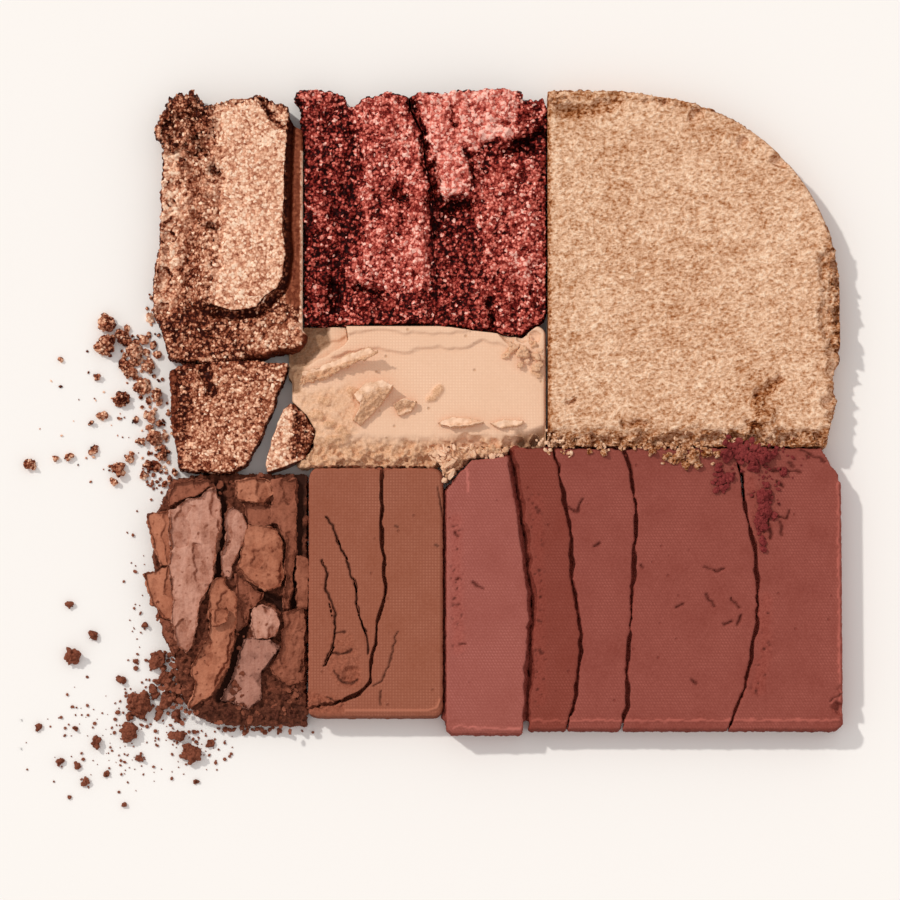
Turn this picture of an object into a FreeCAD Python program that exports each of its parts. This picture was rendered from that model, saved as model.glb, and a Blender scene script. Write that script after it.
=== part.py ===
import FreeCAD, Part
import math
import os

V = FreeCAD.Vector

# Driving dimensions, in millimetres: width along X, length along Y, thickness along Z.
# Each pressed cake is named by its shade.
COPPER_WIDTH = 14.5
COPPER_LENGTH = 37.7
COPPER_BASE_THICKNESS = 2.8
COPPER_SKIN_THICKNESS = 0.9
COPPER_LOWER_THICKNESS = 3.2
BURGUNDY_WIDTH = 24.2
BURGUNDY_LENGTH = 23.8
BURGUNDY_TROUGH_HEIGHT = 2.5
BURGUNDY_RIDGE_HEIGHT = 3.6
CHAMPAGNE_WIDTH = 29.3
CHAMPAGNE_LENGTH = 35.6
CHAMPAGNE_THICKNESS = 3.5
CHAMPAGNE_CORNER_RADIUS = 20.5
CREAM_WIDTH = 25.4
CREAM_LENGTH = 14.1
CREAM_THICKNESS = 2.8
CREAM_FLAKE_THICKNESS = 0.5
CREAM_CORNER_HEIGHT = 1.2
COCOA_WIDTH = 15.6
COCOA_LENGTH = 25.2
COCOA_UNDER_THICKNESS = 1.2
COCOA_FLAKE_THICKNESS = 1.5
BROWN_WIDTH = 13.4
BROWN_LENGTH = 24.9
BROWN_THICKNESS = 3.0
MAUVE_WIDTH = 39.4
MAUVE_LENGTH = 28.2
MAUVE_THICKNESS = 3.0

# Edges that a pan moulded, and gaps between the cakes.
PAN_CORNER_RADIUS = 1.0
EDGE_CHAMFER = 0.25
CAKE_GAP = 0.2
CREAM_TUCK = 1.0  # the cream cake reaches this far left of the copper cake's right-hand edge
BROWN_SETBACK = 1.3
COCOA_SETBACK = 0.3

# Fractures: the walls step sideways by up to BREAK_DEPTH about every BREAK_STEP.
BREAK_STEP = 1.0
BREAK_DEPTH = 0.14
FLAKE_BREAK_DEPTH = 0.08
WIDE_CRACK = 0.55
CRACK = 0.3
HAIR_CRACK = 0.16
HAIR_CRACK_DEPTH = 1.4
CRUMB_SIZE = 1.0
BITE_SIZE = 1.7
BITE_STRETCH = 1.3

# Share of the full width at shares of the height: a crumb has a belly, and a chip broken out of
# an edge opens upwards.
CRUMB_PROFILE = ((0.72, 0.0), (1.0, 0.42), (0.5, 1.0))
BITE_PROFILE = ((0.45, 0.0), (0.8, 0.4), (1.15, 1.0))

TALL = 4 * CHAMPAGNE_THICKNESS


class Cake:
    """The place of a pressed cake on the table; points on it are shares of its width and length."""

    def __init__(self, x, y, width, length):
        self.x = x
        self.y = y
        self.width = width
        self.length = length
        self.right = x + width
        self.top = y + length

    def at(self, u, v):
        return (self.x + u * self.width, self.y + v * self.length)

    def path(self, *places):
        return [self.at(u, v) for u, v in places]


def noise(index, seed):
    """A repeatable value from -1 to 1."""
    value = math.sin(index * 12.9898 + seed * 78.233) * 43758.5453
    return 2.0 * (value - math.floor(value)) - 1.0


def ragged(points, depth, seed, closed=True):
    """Breaks each slanting run into short steps, pushed sideways by up to depth.

    A run along X or Y is an edge that the pan moulded, and it stays straight.
    """
    ends = points[1:] + points[:1] if closed else points[1:]
    rough = []
    for i, (start, end) in enumerate(zip(points, ends)):
        rough.append(start)
        dx = end[0] - start[0]
        dy = end[1] - start[1]
        run = math.hypot(dx, dy)
        moulded = min(abs(dx), abs(dy)) < 0.001
        steps = 0 if moulded else int(run // BREAK_STEP)
        for k in range(1, steps + 1):
            share = k / (steps + 1)
            push = depth * noise(31 * i + k, seed) / run
            rough.append((start[0] + share * dx - push * dy, start[1] + share * dy + push * dx))
    if not closed:
        rough.append(points[-1])
    return rough


def outline_face(points, height):
    corners = [V(x, y, height) for x, y in points]
    return Part.Face(Part.makePolygon(corners + corners[:1]))


def prism(points, bottom, top):
    return outline_face(points, bottom).extrude(V(0, 0, top - bottom))


def clearance(points):
    """The room that a neighbour of this outline has to leave free."""
    face = outline_face(points, -1).makeOffset2D(CAKE_GAP, 2)
    return face.extrude(V(0, 0, TALL))


def kerf(points, width, seed, bottom=-1):
    """The open space of a crack along a path, narrower and wider as it goes."""
    line = ragged(points, BREAK_DEPTH, seed, closed=False)
    left = []
    right = []
    for i, (x, y) in enumerate(line):
        before = line[max(i - 1, 0)]
        after = line[min(i + 1, len(line) - 1)]
        dx = after[0] - before[0]
        dy = after[1] - before[1]
        half = width * (1 + 0.4 * noise(i, seed + 9)) / 2 / math.hypot(dx, dy)
        left.append((x - half * dy, y + half * dx))
        right.append((x + half * dy, y - half * dx))
    return prism(left + right[::-1], bottom, TALL)


def lump(x, y, seat, size, seed, stretch=1.0, profile=CRUMB_PROFILE):
    """An irregular faceted lump with a flat foot, as wide at each level as its profile says."""
    sides = 6
    height = size * (0.62 + 0.14 * noise(1, seed))
    turn = math.pi * noise(2, seed)
    rings = []
    for share, level in profile:
        ring = []
        for k in range(sides):
            angle = 2 * math.pi * (k + 0.24 * noise(k, seed + 3)) / sides
            radius = size / 2 * share * (1 + 0.2 * noise(k, seed + 5))
            along = radius * math.cos(angle) * stretch
            across = radius * math.sin(angle)
            ring.append(
                V(
                    x + along * math.cos(turn) - across * math.sin(turn),
                    y + along * math.sin(turn) + across * math.cos(turn),
                    seat + level * height,
                )
            )
        rings.append(ring)
    faces = [Part.Face(Part.makePolygon(rings[0][::-1] + rings[0][-1:]))]
    for low, high in zip(rings, rings[1:]):
        for k in range(sides):
            n = (k + 1) % sides
            faces.append(Part.Face(Part.makePolygon([low[k], low[n], high[n], low[k]])))
            faces.append(Part.Face(Part.makePolygon([low[k], high[n], high[k], low[k]])))
    faces.append(Part.Face(Part.makePolygon(rings[-1] + rings[-1][:1])))
    return Part.Solid(Part.Shell(faces))


def crumbs(cake, seat, seed, *places):
    """Crumbs at hand-placed points: share of width, share of length, size in crumbs."""
    return Part.makeCompound(
        [
            lump(*cake.at(u, v), seat, size * CRUMB_SIZE, seed + i, 1.0 + 0.3 * abs(noise(i, seed)))
            for i, (u, v, size) in enumerate(places)
        ]
    )


def bites(path, count, level, seed):
    """Chips broken out of an edge, spread evenly along a straight path."""
    (x0, y0), (x1, y1) = path
    chips = []
    for k in range(count):
        share = (k + 0.5 + 0.25 * noise(k, seed)) / count
        size = BITE_SIZE * (1 + 0.35 * noise(k, seed + 1))
        x = x0 + share * (x1 - x0) + 0.15 * noise(k, seed + 2)
        y = y0 + share * (y1 - y0) + 0.15 * noise(k, seed + 4)
        chips.append(lump(x, y, level - 0.38 * size, size, seed + 10 + k, BITE_STRETCH, BITE_PROFILE))
    return chips


def moulded_block(cake, thickness):
    """A cake as the pan pressed it, with rounded corners and a softened top rim."""
    block = Part.makeBox(cake.width, cake.length, thickness, V(cake.x, cake.y, 0))
    upright = [edge for edge in block.Edges if edge.BoundBox.ZLength > thickness / 2]
    block = block.makeFillet(PAN_CORNER_RADIUS, upright)
    return soften_rim(block, thickness)


def soften_rim(block, thickness, least_x=-math.inf):
    """Takes the sharp corner off the top rim, or off the part of it that lies right of least_x."""
    rim = [
        edge
        for edge in block.Edges
        if edge.BoundBox.ZMin > thickness - 0.001 and edge.BoundBox.XMin > least_x
    ]
    return block.makeChamfer(EDGE_CHAMFER, rim)


def largest(shape):
    return max(shape.Solids, key=lambda solid: solid.Volume)


def by_place(shape, count):
    """The count largest solids of a broken cake, from left to right."""
    solids = sorted(shape.Solids, key=lambda solid: -solid.Volume)[:count]
    return sorted(solids, key=lambda solid: solid.CenterOfMass.x)


def flake(points, seat, thickness, rise_x, rise_y, seed):
    """A broken plate, flat underneath, whose top climbs by rise_x and rise_y per millimetre."""
    column = prism(ragged(points, FLAKE_BREAK_DEPTH, seed), seat, seat + TALL)
    x = sum(point[0] for point in points) / len(points)
    y = sum(point[1] for point in points) / len(points)
    reach = TALL * 3
    corners = [
        V(x + a * reach, y + b * reach, seat + thickness + reach * (a * rise_x + b * rise_y))
        for a, b in ((-1, -1), (1, -1), (1, 1), (-1, 1))
    ]
    above = Part.Face(Part.makePolygon(corners + corners[:1])).extrude(V(0, 0, 3 * reach))
    return column.cut(above)


def leaning(solid, degrees):
    """Tips a slab about its own middle line and sets its lowest edge back on the table."""
    tipped = solid.copy()
    tipped.rotate(solid.CenterOfMass, V(0, 1, 0), degrees)
    tipped.translate(V(0, 0, -tipped.BoundBox.ZMin))
    return tipped


# Layout: the copper cake stands first, the burgundy and cream cakes stand one above the other
# beside it, and the champagne cake beside those. The lower row hangs from its right-hand edge.
cocoa_top = COCOA_SETBACK + COCOA_LENGTH
brown_top = BROWN_SETBACK + BROWN_LENGTH
copper = Cake(0, cocoa_top + 1.5 * CAKE_GAP, COPPER_WIDTH, COPPER_LENGTH)
cream_y = brown_top + 1.5 * CAKE_GAP
burgundy = Cake(
    copper.right + CAKE_GAP, cream_y + CREAM_LENGTH + CAKE_GAP, BURGUNDY_WIDTH, BURGUNDY_LENGTH
)
cream = Cake(copper.right - CREAM_TUCK, cream_y, CREAM_WIDTH, CREAM_LENGTH)
champagne = Cake(
    max(burgundy.right, cream.right) + CAKE_GAP,
    MAUVE_LENGTH + CAKE_GAP,
    CHAMPAGNE_WIDTH,
    CHAMPAGNE_LENGTH,
)
mauve = Cake(champagne.right - MAUVE_WIDTH, 0, MAUVE_WIDTH, MAUVE_LENGTH)
brown = Cake(mauve.x - 2 * CAKE_GAP - BROWN_WIDTH, BROWN_SETBACK, BROWN_WIDTH, BROWN_LENGTH)
cocoa = Cake(brown.x - CAKE_GAP - COCOA_WIDTH, COCOA_SETBACK, COCOA_WIDTH, COCOA_LENGTH)

COPPER_UPPER = copper.path(
    (0.03, 0.84), (0.01, 0.6), (-0.03, 0.51), (-0.03, 0.43), (0.05, 0.36), (0.08, 0.31),
    (0.19, 0.297), (0.41, 0.302), (0.69, 0.32), (0.79, 0.335), (0.94, 0.34), (0.99, 0.36),
    (1.0, 0.4), (1.0, 0.92), (0.94, 0.93), (0.9, 0.97), (0.7, 1.0), (0.46, 0.985),
    (0.34, 0.965), (0.23, 1.01), (0.08, 0.99), (-0.02, 0.92), (0.05, 0.87),
)
COPPER_SHARD = copper.path(
    (0.92, 0.186), (1.02, 0.15), (1.08, 0.11), (1.06, 0.07), (1.01, 0.035), (0.89, 0.016),
    (0.76, 0.0), (0.75, 0.02), (0.79, 0.09), (0.87, 0.167),
)
BURGUNDY_OUTLINE = burgundy.path(
    (0.0, 0.0), (0.56, 0.0), (0.69, -0.02), (0.78, -0.03), (0.9, -0.05), (0.95, -0.01),
    (1.0, 0.04), (1.0, 0.93), (0.99, 0.96), (0.9, 0.95), (0.9, 0.99), (0.8, 1.0), (0.65, 0.99),
    (0.57, 0.975), (0.48, 0.985), (0.43, 0.96), (0.35, 0.99), (0.29, 0.96), (0.26, 0.97),
    (0.2, 0.93), (0.17, 0.93), (0.16, 0.97), (0.11, 0.99), (0.04, 1.0), (-0.01, 0.99),
    (-0.022, 0.965), (0.0, 0.93), (0.0, 0.87),
)


def copper_pieces():
    base = prism(ragged(COPPER_UPPER, BREAK_DEPTH, 1), 0, COPPER_BASE_THICKNESS)
    base = soften_rim(base, COPPER_BASE_THICKNESS, copper.right - 0.001)
    skin = flake(
        copper.path(
            (0.9, 0.955), (0.88, 0.85), (0.86, 0.66), (0.88, 0.59), (0.86, 0.52), (0.82, 0.49),
            (0.74, 0.47), (0.68, 0.44), (0.52, 0.43), (0.34, 0.45), (0.37, 0.54), (0.39, 0.72),
            (0.38, 0.965), (0.7, 0.99),
        ),
        COPPER_BASE_THICKNESS, COPPER_SKIN_THICKNESS, 0.01, 0.004, 2,
    )
    lower = prism(
        ragged(
            copper.path(
                (0.18, 0.287), (0.63, 0.298), (0.9, 0.29), (0.85, 0.23), (0.74, 0.12),
                (0.7, 0.08), (0.61, 0.02), (0.52, 0.0), (0.36, 0.0), (0.15, 0.01),
                (0.11, 0.11), (0.09, 0.27),
            ),
            BREAK_DEPTH, 3,
        ),
        0, COPPER_LOWER_THICKNESS,
    )
    shard = flake(COPPER_SHARD, 0, COPPER_BASE_THICKNESS, -0.06, 0.0, 4)
    corner = crumbs(
        copper, COPPER_BASE_THICKNESS, 20,
        (0.07, 0.955, 1.4), (0.18, 0.985, 1.3), (0.27, 0.96, 1.2), (0.05, 0.91, 1.3),
        (0.16, 0.93, 1.5), (0.27, 0.915, 1.1), (0.1, 0.87, 1.0), (0.22, 0.875, 1.2),
        (0.16, 0.83, 0.8), (0.3, 0.85, 0.7),
    )
    return {
        "copper_base": largest(base.cut(bites(copper.path((0.1, 0.8), (0.02, 0.42)), 8,
                                              COPPER_BASE_THICKNESS, 40))),
        "copper_pressed_skin": skin,
        "copper_corner_crumbs": corner,
        "copper_lower_piece": lower,
        "copper_shard": shard,
    }


def burgundy_pieces():
    """A scraped block lofted through cross sections, broken along one crack.

    Each row is a share of the length and the heights across it, from 0 at the trough to 1 at the
    ridge. A trough and a hollow lie on the left, then a ridge, and a plate that ends in a ledge.
    """
    columns = (
        -0.06, 0.03, 0.12, 0.21, 0.255, 0.33, 0.41, 0.49, 0.545, 0.61, 0.68, 0.74, 0.83, 0.93, 1.06,
    )
    rows = (
        (-0.07, (-0.4, -0.3, -0.4, 0.1, 0.4, 0.4, 0.5, 0.5, 0.2, 0.2, 0.2, 0.3, 0.3, 0.4, 0.3)),
        (0.1, (-0.4, -0.2, -0.6, 0.3, 0.7, 0.2, 0.8, 0.9, 0.1, 0.1, 0.2, 0.3, 0.4, 0.5, 0.4)),
        (0.3, (-0.2, -0.4, -0.4, 0.0, 0.8, 0.9, 0.8, 1.1, 0.1, 0.1, 0.2, 0.4, 0.7, 0.7, 0.4)),
        (0.5, (0.0, 0.1, -0.1, 0.0, 0.9, 0.9, 0.8, 1.0, 0.1, -0.1, 0.0, 0.5, 0.6, 0.7, 0.4)),
        (0.55, (0.0, 0.1, -0.1, 0.0, 0.9, 0.8, 0.7, 1.05, 0.3, 1.1, 1.0, 0.5, 0.6, 0.6, 0.4)),
        (0.75, (0.1, 0.1, -0.1, -0.1, 0.9, 1.0, 0.8, 1.0, 1.1, 1.15, 1.1, 0.5, 0.4, 0.1, 0.3)),
        (0.87, (0.2, 0.3, 0.1, 0.0, 0.8, 1.0, 1.0, 1.0, 1.15, 1.15, 1.1, 1.0, 0.9, 0.3, 0.3)),
        (1.03, (0.5, 0.6, 0.4, 0.2, 0.5, 0.8, 0.9, 0.9, 1.1, 1.1, 1.1, 1.0, 1.0, 0.5, 0.4)),
    )
    climb = BURGUNDY_RIDGE_HEIGHT - BURGUNDY_TROUGH_HEIGHT
    sections = []
    for j, (v, shares) in enumerate(rows):
        y = burgundy.at(0, v)[1]
        crest = []
        for i, (u, share) in enumerate(zip(columns, shares)):
            wander = 0.008 * noise(i + 50 * j, 6)
            height = BURGUNDY_TROUGH_HEIGHT + climb * (share + 0.06 * noise(i + 40 * j, 7))
            crest.append(V(burgundy.at(u + wander, v)[0], y, height))
        foot = [V(crest[-1].x, y, 0), V(crest[0].x, y, 0)]
        sections.append(Part.makePolygon(crest + foot + crest[:1]))
    rutted = Part.makeLoft(sections, True, True)
    cake = rutted.common(prism(ragged(BURGUNDY_OUTLINE, BREAK_DEPTH, 5), 0, TALL))
    crack = kerf(
        burgundy.path(
            (0.43, 1.06), (0.44, 0.91), (0.49, 0.81), (0.5, 0.68), (0.53, 0.55), (0.52, 0.44),
            (0.54, 0.22), (0.56, -0.08),
        ),
        CRACK, 8,
    )
    left, right = by_place(cake.cut(crack), 2)
    return {"burgundy_left_block": left, "burgundy_right_block": right}


def champagne_pieces():
    cake = champagne
    radius = CHAMPAGNE_CORNER_RADIUS
    diagonal = radius * math.sqrt(0.5)
    arc = Part.Arc(
        V(cake.right, cake.top - radius, 0),
        V(cake.right - radius + diagonal, cake.top - radius + diagonal, 0),
        V(cake.right - radius, cake.top, 0),
    )
    runs = [
        Part.makeLine(V(cake.x, cake.top, 0), V(cake.x, cake.y, 0)),
        Part.makeLine(V(cake.x, cake.y, 0), V(cake.right, cake.y, 0)),
        Part.makeLine(V(cake.right, cake.y, 0), V(cake.right, cake.top - radius, 0)),
        arc.toShape(),
        Part.makeLine(V(cake.right - radius, cake.top, 0), V(cake.x, cake.top, 0)),
    ]
    block = Part.Face(Part.Wire(runs)).extrude(V(0, 0, CHAMPAGNE_THICKNESS))
    block = soften_rim(block, CHAMPAGNE_THICKNESS)
    broken_corner = prism(
        ragged(
            cake.path(
                (1.06, 0.3), (0.99, 0.28), (0.995, 0.24), (0.975, 0.2), (0.975, 0.15),
                (0.985, 0.13), (0.965, 0.07), (0.94, -0.03), (1.06, -0.03),
            ),
            BREAK_DEPTH, 9,
        ),
        -1, TALL,
    )
    chips = bites(cake.path((0.02, 0.015), (0.94, 0.02)), 17, CHAMPAGNE_THICKNESS, 60)
    chips += bites(cake.path((1.0, 0.52), (1.0, 0.3)), 6, CHAMPAGNE_THICKNESS, 90)
    chips += bites(cake.path((0.985, 0.27), (0.97, 0.06)), 5, CHAMPAGNE_THICKNESS, 110)
    chips += bites(cake.path((0.35, 1.01), (0.95, 0.74)), 5, CHAMPAGNE_THICKNESS, 120)
    corner_flake = flake(
        cake.path((0.005, 0.985), (0.05, 0.995), (0.075, 0.975), (0.03, 0.965)),
        CHAMPAGNE_THICKNESS, CREAM_FLAKE_THICKNESS, 0.0, 0.15, 10,
    )
    return {
        "champagne_cake": largest(block.cut([broken_corner] + chips)),
        "champagne_corner_flake": corner_flake,
        "champagne_crumbs": crumbs(
            mauve, MAUVE_THICKNESS, 140,
            (0.56, 0.975, 0.9), (0.59, 0.982, 1.1), (0.622, 0.97, 1.3), (0.655, 0.98, 1.0),
            (0.575, 0.945, 0.6), (0.605, 0.935, 0.7), (0.64, 0.94, 0.8), (0.685, 0.975, 0.7),
            (0.52, 0.982, 0.7), (0.4, 0.983, 0.7), (0.36, 0.985, 0.6),
        ),
    }


def cream_curl():
    """A shaving that lies on the cream cake at its left end and bends up towards its tip."""
    plan = prism(
        cream.path(
            (0.03, 0.57), (0.13, 0.62), (0.19, 0.68), (0.31, 0.76), (0.34, 0.79), (0.3, 0.82),
            (0.24, 0.79), (0.14, 0.72), (0.04, 0.66),
        ),
        CREAM_THICKNESS, CREAM_THICKNESS + TALL,
    )
    start = V(*cream.at(0.0, 0.55), CREAM_THICKNESS)
    tip = V(*cream.at(0.36, 0.85), CREAM_THICKNESS)
    middle = (start + tip) * 0.5
    lift = 5 * CREAM_FLAKE_THICKNESS
    plate = CREAM_FLAKE_THICKNESS
    side = (tip - start).cross(V(0, 0, 1)).normalize() * CREAM_LENGTH
    under = Part.Arc(start, middle + V(0, 0, 0.12 * lift), tip + V(0, 0, lift))
    over = Part.Arc(
        start + V(0, 0, plate),
        middle + V(0, 0, 0.12 * lift + plate),
        tip + V(0, 0, lift + 0.4 * plate),
    )
    band = Part.Wire(
        [
            under.toShape(),
            Part.makeLine(tip + V(0, 0, lift), tip + V(0, 0, lift + 0.4 * plate)),
            over.toShape(),
            Part.makeLine(start + V(0, 0, plate), start),
        ]
    )
    sheet = Part.Face(band)
    sheet.translate(side * -0.5)
    return largest(plan.common(sheet.extrude(side)))


def cream_pieces():
    block = moulded_block(cream, CREAM_THICKNESS)
    below = cream.y - TALL
    break_top = max(mauve.top + CAKE_GAP, cream.y + CAKE_GAP)
    x_break = cream.at(0.57, 0)[0]
    x_clear = cream.at(0.61, 0)[0]
    x_end = cream.at(1.04, 0)[0]
    lower_break = prism(
        ragged(
            [
                (x_break, below), (x_break, cream.y), (x_clear, break_top),
                (x_end, break_top), (x_end, below),
            ],
            BREAK_DEPTH, 11,
        ),
        -1, TALL,
    )
    corner_break = prism(
        ragged(
            cream.path(
                (-0.05, 0.68), (0.05, 0.68), (0.1, 0.76), (0.19, 0.84), (0.22, 0.9), (0.2, 1.05),
                (-0.05, 1.05),
            ),
            BREAK_DEPTH, 9,
        ),
        CREAM_CORNER_HEIGHT, TALL,
    )
    neighbours = [clearance(COPPER_UPPER), clearance(COPPER_SHARD), clearance(BURGUNDY_OUTLINE)]
    chips = bites(cream.path((0.1, 0.0), (0.56, 0.02)), 9, CREAM_THICKNESS, 160)
    chips += bites(cream.path((0.62, 0.15), (0.97, 0.16)), 7, CREAM_THICKNESS, 180)
    chips += bites(cream.path((0.82, 0.95), (0.98, 0.9)), 3, CREAM_THICKNESS, 190)
    seat = CREAM_THICKNESS
    plate = CREAM_FLAKE_THICKNESS
    return {
        "cream_cake": largest(block.cut(neighbours + [lower_break, corner_break] + chips)),
        "cream_curl": cream_curl(),
        "cream_large_flake": flake(
            cream.path(
                (0.24, 0.5), (0.29, 0.58), (0.36, 0.6), (0.4, 0.56), (0.37, 0.48),
                (0.33, 0.39), (0.27, 0.28), (0.24, 0.32), (0.27, 0.43),
            ),
            seat, plate, 0.05, 0.03, 12,
        ),
        "cream_small_flake": flake(
            cream.path(
                (0.4, 0.43), (0.44, 0.47), (0.49, 0.45), (0.47, 0.38), (0.42, 0.35),
            ),
            seat, plate, 0.04, 0.04, 13,
        ),
        "cream_lower_shavings": Part.makeCompound(
            [
                flake(
                    cream.path(
                        (0.57, 0.3), (0.63, 0.34), (0.7, 0.33), (0.76, 0.3), (0.7, 0.27),
                        (0.62, 0.27),
                    ),
                    seat, plate, 0.0, 0.06, 14,
                ),
                flake(
                    cream.path(
                        (0.78, 0.3), (0.84, 0.32), (0.91, 0.31), (0.9, 0.28), (0.82, 0.26),
                    ),
                    seat, plate, 0.0, 0.08, 15,
                ),
            ]
        ),
        "cream_front_rubble": flake(
            mauve.path(
                (-0.0025, 0.885), (0.015, 0.91), (0.058, 0.971), (0.129, 0.98), (0.152, 0.983),
                (0.152, 1.0), (0.005, 1.0), (-0.0025, 0.98),
            ),
            0, 0.85 * CREAM_THICKNESS, 0.0, 0.06, 27,
        ),
        "cream_corner_crumbs": crumbs(
            cream, seat, 200,
            (0.87, 0.84, 1.0), (0.91, 0.8, 1.2), (0.95, 0.86, 0.9), (0.96, 0.78, 0.8),
            (0.9, 0.72, 0.7), (0.965, 0.7, 0.9), (0.84, 0.78, 0.6), (0.97, 0.63, 0.6),
        ),
    }


def cocoa_pieces():
    """The cake that fell apart: a crumbled under layer with leaning flakes and chips on it."""
    seat = COCOA_UNDER_THICKNESS
    thick = COCOA_FLAKE_THICKNESS
    under = prism(
        ragged(
            cocoa.path(
                (0.01, 0.83), (0.13, 0.96), (0.35, 0.985), (1.0, 0.985), (1.0, 0.01),
                (0.7, 0.01), (0.41, 0.02), (0.3, 0.05), (0.22, 0.11), (0.15, 0.3), (0.05, 0.46),
                (0.02, 0.6),
            ),
            BREAK_DEPTH, 16,
        ),
        0, seat,
    )
    pieces = {
        "cocoa_under_layer": under,
        "cocoa_left_flake": flake(
            cocoa.path(
                (0.13, 0.85), (0.22, 0.89), (0.31, 0.91), (0.4, 0.94), (0.43, 0.87), (0.44, 0.79),
                (0.41, 0.71), (0.39, 0.6), (0.35, 0.54), (0.31, 0.49), (0.3, 0.42), (0.28, 0.35),
                (0.24, 0.31), (0.19, 0.33), (0.16, 0.39), (0.15, 0.51), (0.135, 0.65),
            ),
            seat, thick, 0.08, 0.0, 17,
        ),
        "cocoa_upper_flap": flake(
            cocoa.path((-0.01, 0.84), (0.115, 0.85), (0.115, 0.65), (0.06, 0.65), (0.02, 0.72)),
            seat, 0.75 * thick, 0.28, 0.0, 18,
        ),
        "cocoa_lower_flap": flake(
            cocoa.path(
                (-0.03, 0.6), (0.06, 0.62), (0.115, 0.63), (0.13, 0.44), (0.08, 0.45), (0.02, 0.49),
            ),
            seat, 0.7 * thick, 0.2, 0.0, 19,
        ),
        "cocoa_left_strip": flake(
            cocoa.path((0.06, 0.43), (0.13, 0.42), (0.145, 0.37), (0.17, 0.32), (0.14, 0.29), (0.1, 0.35)),
            seat, 0.5 * thick, 0.1, 0.0, 21,
        ),
        "cocoa_upper_chunk": flake(
            cocoa.path(
                (0.13, 0.935), (0.17, 0.965), (0.26, 0.975), (0.36, 0.97), (0.37, 0.95),
                (0.3, 0.93), (0.21, 0.91), (0.13, 0.88),
            ),
            seat, 1.1 * thick, 0.0, 0.1, 22,
        ),
        "cocoa_ridge_chunk": flake(
            cocoa.path(
                (0.56, 0.97), (0.66, 0.98), (0.75, 0.975), (0.76, 0.93), (0.72, 0.895), (0.65, 0.9),
                (0.58, 0.91),
            ),
            seat, 1.2 * thick, -0.1, -0.1, 23,
        ),
        "cocoa_upper_chip": flake(
            cocoa.path(
                (0.6, 0.88), (0.67, 0.88), (0.74, 0.875), (0.76, 0.85), (0.75, 0.81), (0.63, 0.81),
            ),
            seat, 0.8 * thick, 0.15, 0.0, 33,
        ),
        "cocoa_narrow_flake": flake(
            cocoa.path(
                (0.48, 0.84), (0.52, 0.87), (0.57, 0.84), (0.6, 0.79), (0.57, 0.71), (0.53, 0.65),
                (0.51, 0.605), (0.46, 0.61), (0.47, 0.69), (0.49, 0.75),
            ),
            seat, 0.8 * thick, 0.25, 0.0, 24,
        ),
        "cocoa_middle_chunk": flake(
            cocoa.path(
                (0.63, 0.79), (0.72, 0.79), (0.8, 0.77), (0.83, 0.73), (0.835, 0.63), (0.82, 0.57),
                (0.75, 0.55), (0.67, 0.57), (0.62, 0.61), (0.58, 0.64), (0.6, 0.71),
            ),
            seat, 1.1 * thick, 0.1, 0.05, 25,
        ),
        "cocoa_inner_chunk": flake(
            cocoa.path(
                (0.56, 0.6), (0.6, 0.585), (0.66, 0.54), (0.71, 0.53), (0.7, 0.5), (0.63, 0.47),
                (0.62, 0.42), (0.575, 0.39), (0.57, 0.46), (0.56, 0.54),
            ),
            seat, 0.75 * thick, 0.12, 0.0, 34,
        ),
        "cocoa_right_strip": flake(
            cocoa.path(
                (0.785, 0.975), (0.92, 0.975), (0.92, 0.72), (0.9, 0.59), (0.88, 0.48), (0.85, 0.48),
                (0.86, 0.59), (0.86, 0.73), (0.83, 0.79), (0.785, 0.81), (0.79, 0.88),
            ),
            seat, 1.15 * thick, 0.0, 0.0, 26,
        ),
        "cocoa_thin_strip": flake(
            cocoa.path((0.95, 0.67), (0.99, 0.66), (0.99, 0.48), (0.95, 0.47)),
            seat, thick, 0.0, 0.0, 27,
        ),
        "cocoa_tan_flake": flake(
            cocoa.path(
                (0.395, 0.57), (0.47, 0.59), (0.49, 0.54), (0.53, 0.52), (0.54, 0.46), (0.53, 0.35),
                (0.5, 0.26), (0.44, 0.17), (0.35, 0.12), (0.26, 0.08), (0.28, 0.13), (0.29, 0.19),
                (0.28, 0.24), (0.32, 0.3), (0.37, 0.35), (0.39, 0.41), (0.37, 0.46),
            ),
            seat, 0.9 * thick, 0.15, 0.0, 28,
        ),
        "cocoa_round_chip": flake(
            cocoa.path(
                (0.67, 0.455), (0.72, 0.47), (0.79, 0.455), (0.81, 0.42), (0.8, 0.38), (0.74, 0.365),
                (0.68, 0.365), (0.65, 0.4),
            ),
            seat, 1.1 * thick, 0.12, 0.1, 29,
        ),
        "cocoa_lower_flake": flake(
            cocoa.path(
                (0.6, 0.345), (0.67, 0.345), (0.76, 0.335), (0.81, 0.31), (0.77, 0.27), (0.71, 0.22),
                (0.69, 0.15), (0.7, 0.11), (0.63, 0.085), (0.54, 0.1), (0.46, 0.11), (0.51, 0.16),
                (0.56, 0.25),
            ),
            seat, 0.8 * thick, 0.16, 0.0, 30,
        ),
        "cocoa_right_column": flake(
            cocoa.path(
                (0.86, 0.45), (0.97, 0.46), (0.975, 0.33), (0.97, 0.19), (0.9, 0.175), (0.83, 0.2),
                (0.79, 0.24), (0.85, 0.32),
            ),
            seat, 0.9 * thick, -0.1, 0.0, 31,
        ),
        "cocoa_side_crumbs": crumbs(
            cocoa, seat, 260,
            (0.21, 0.275, 1.1), (0.235, 0.22, 1.0), (0.225, 0.17, 0.9), (0.245, 0.135, 0.7),
        ),
        "cocoa_foot_crumbs": crumbs(
            cocoa, seat, 230,
            (0.4, 0.07, 1.1), (0.5, 0.055, 1.2), (0.6, 0.04, 1.1), (0.7, 0.045, 1.3),
            (0.8, 0.05, 1.2), (0.9, 0.06, 1.3), (0.77, 0.115, 1.2), (0.86, 0.12, 1.1),
            (0.95, 0.125, 1.0), (0.78, 0.18, 0.8),
        ),
    }
    tan = pieces["cocoa_tan_flake"]
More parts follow.
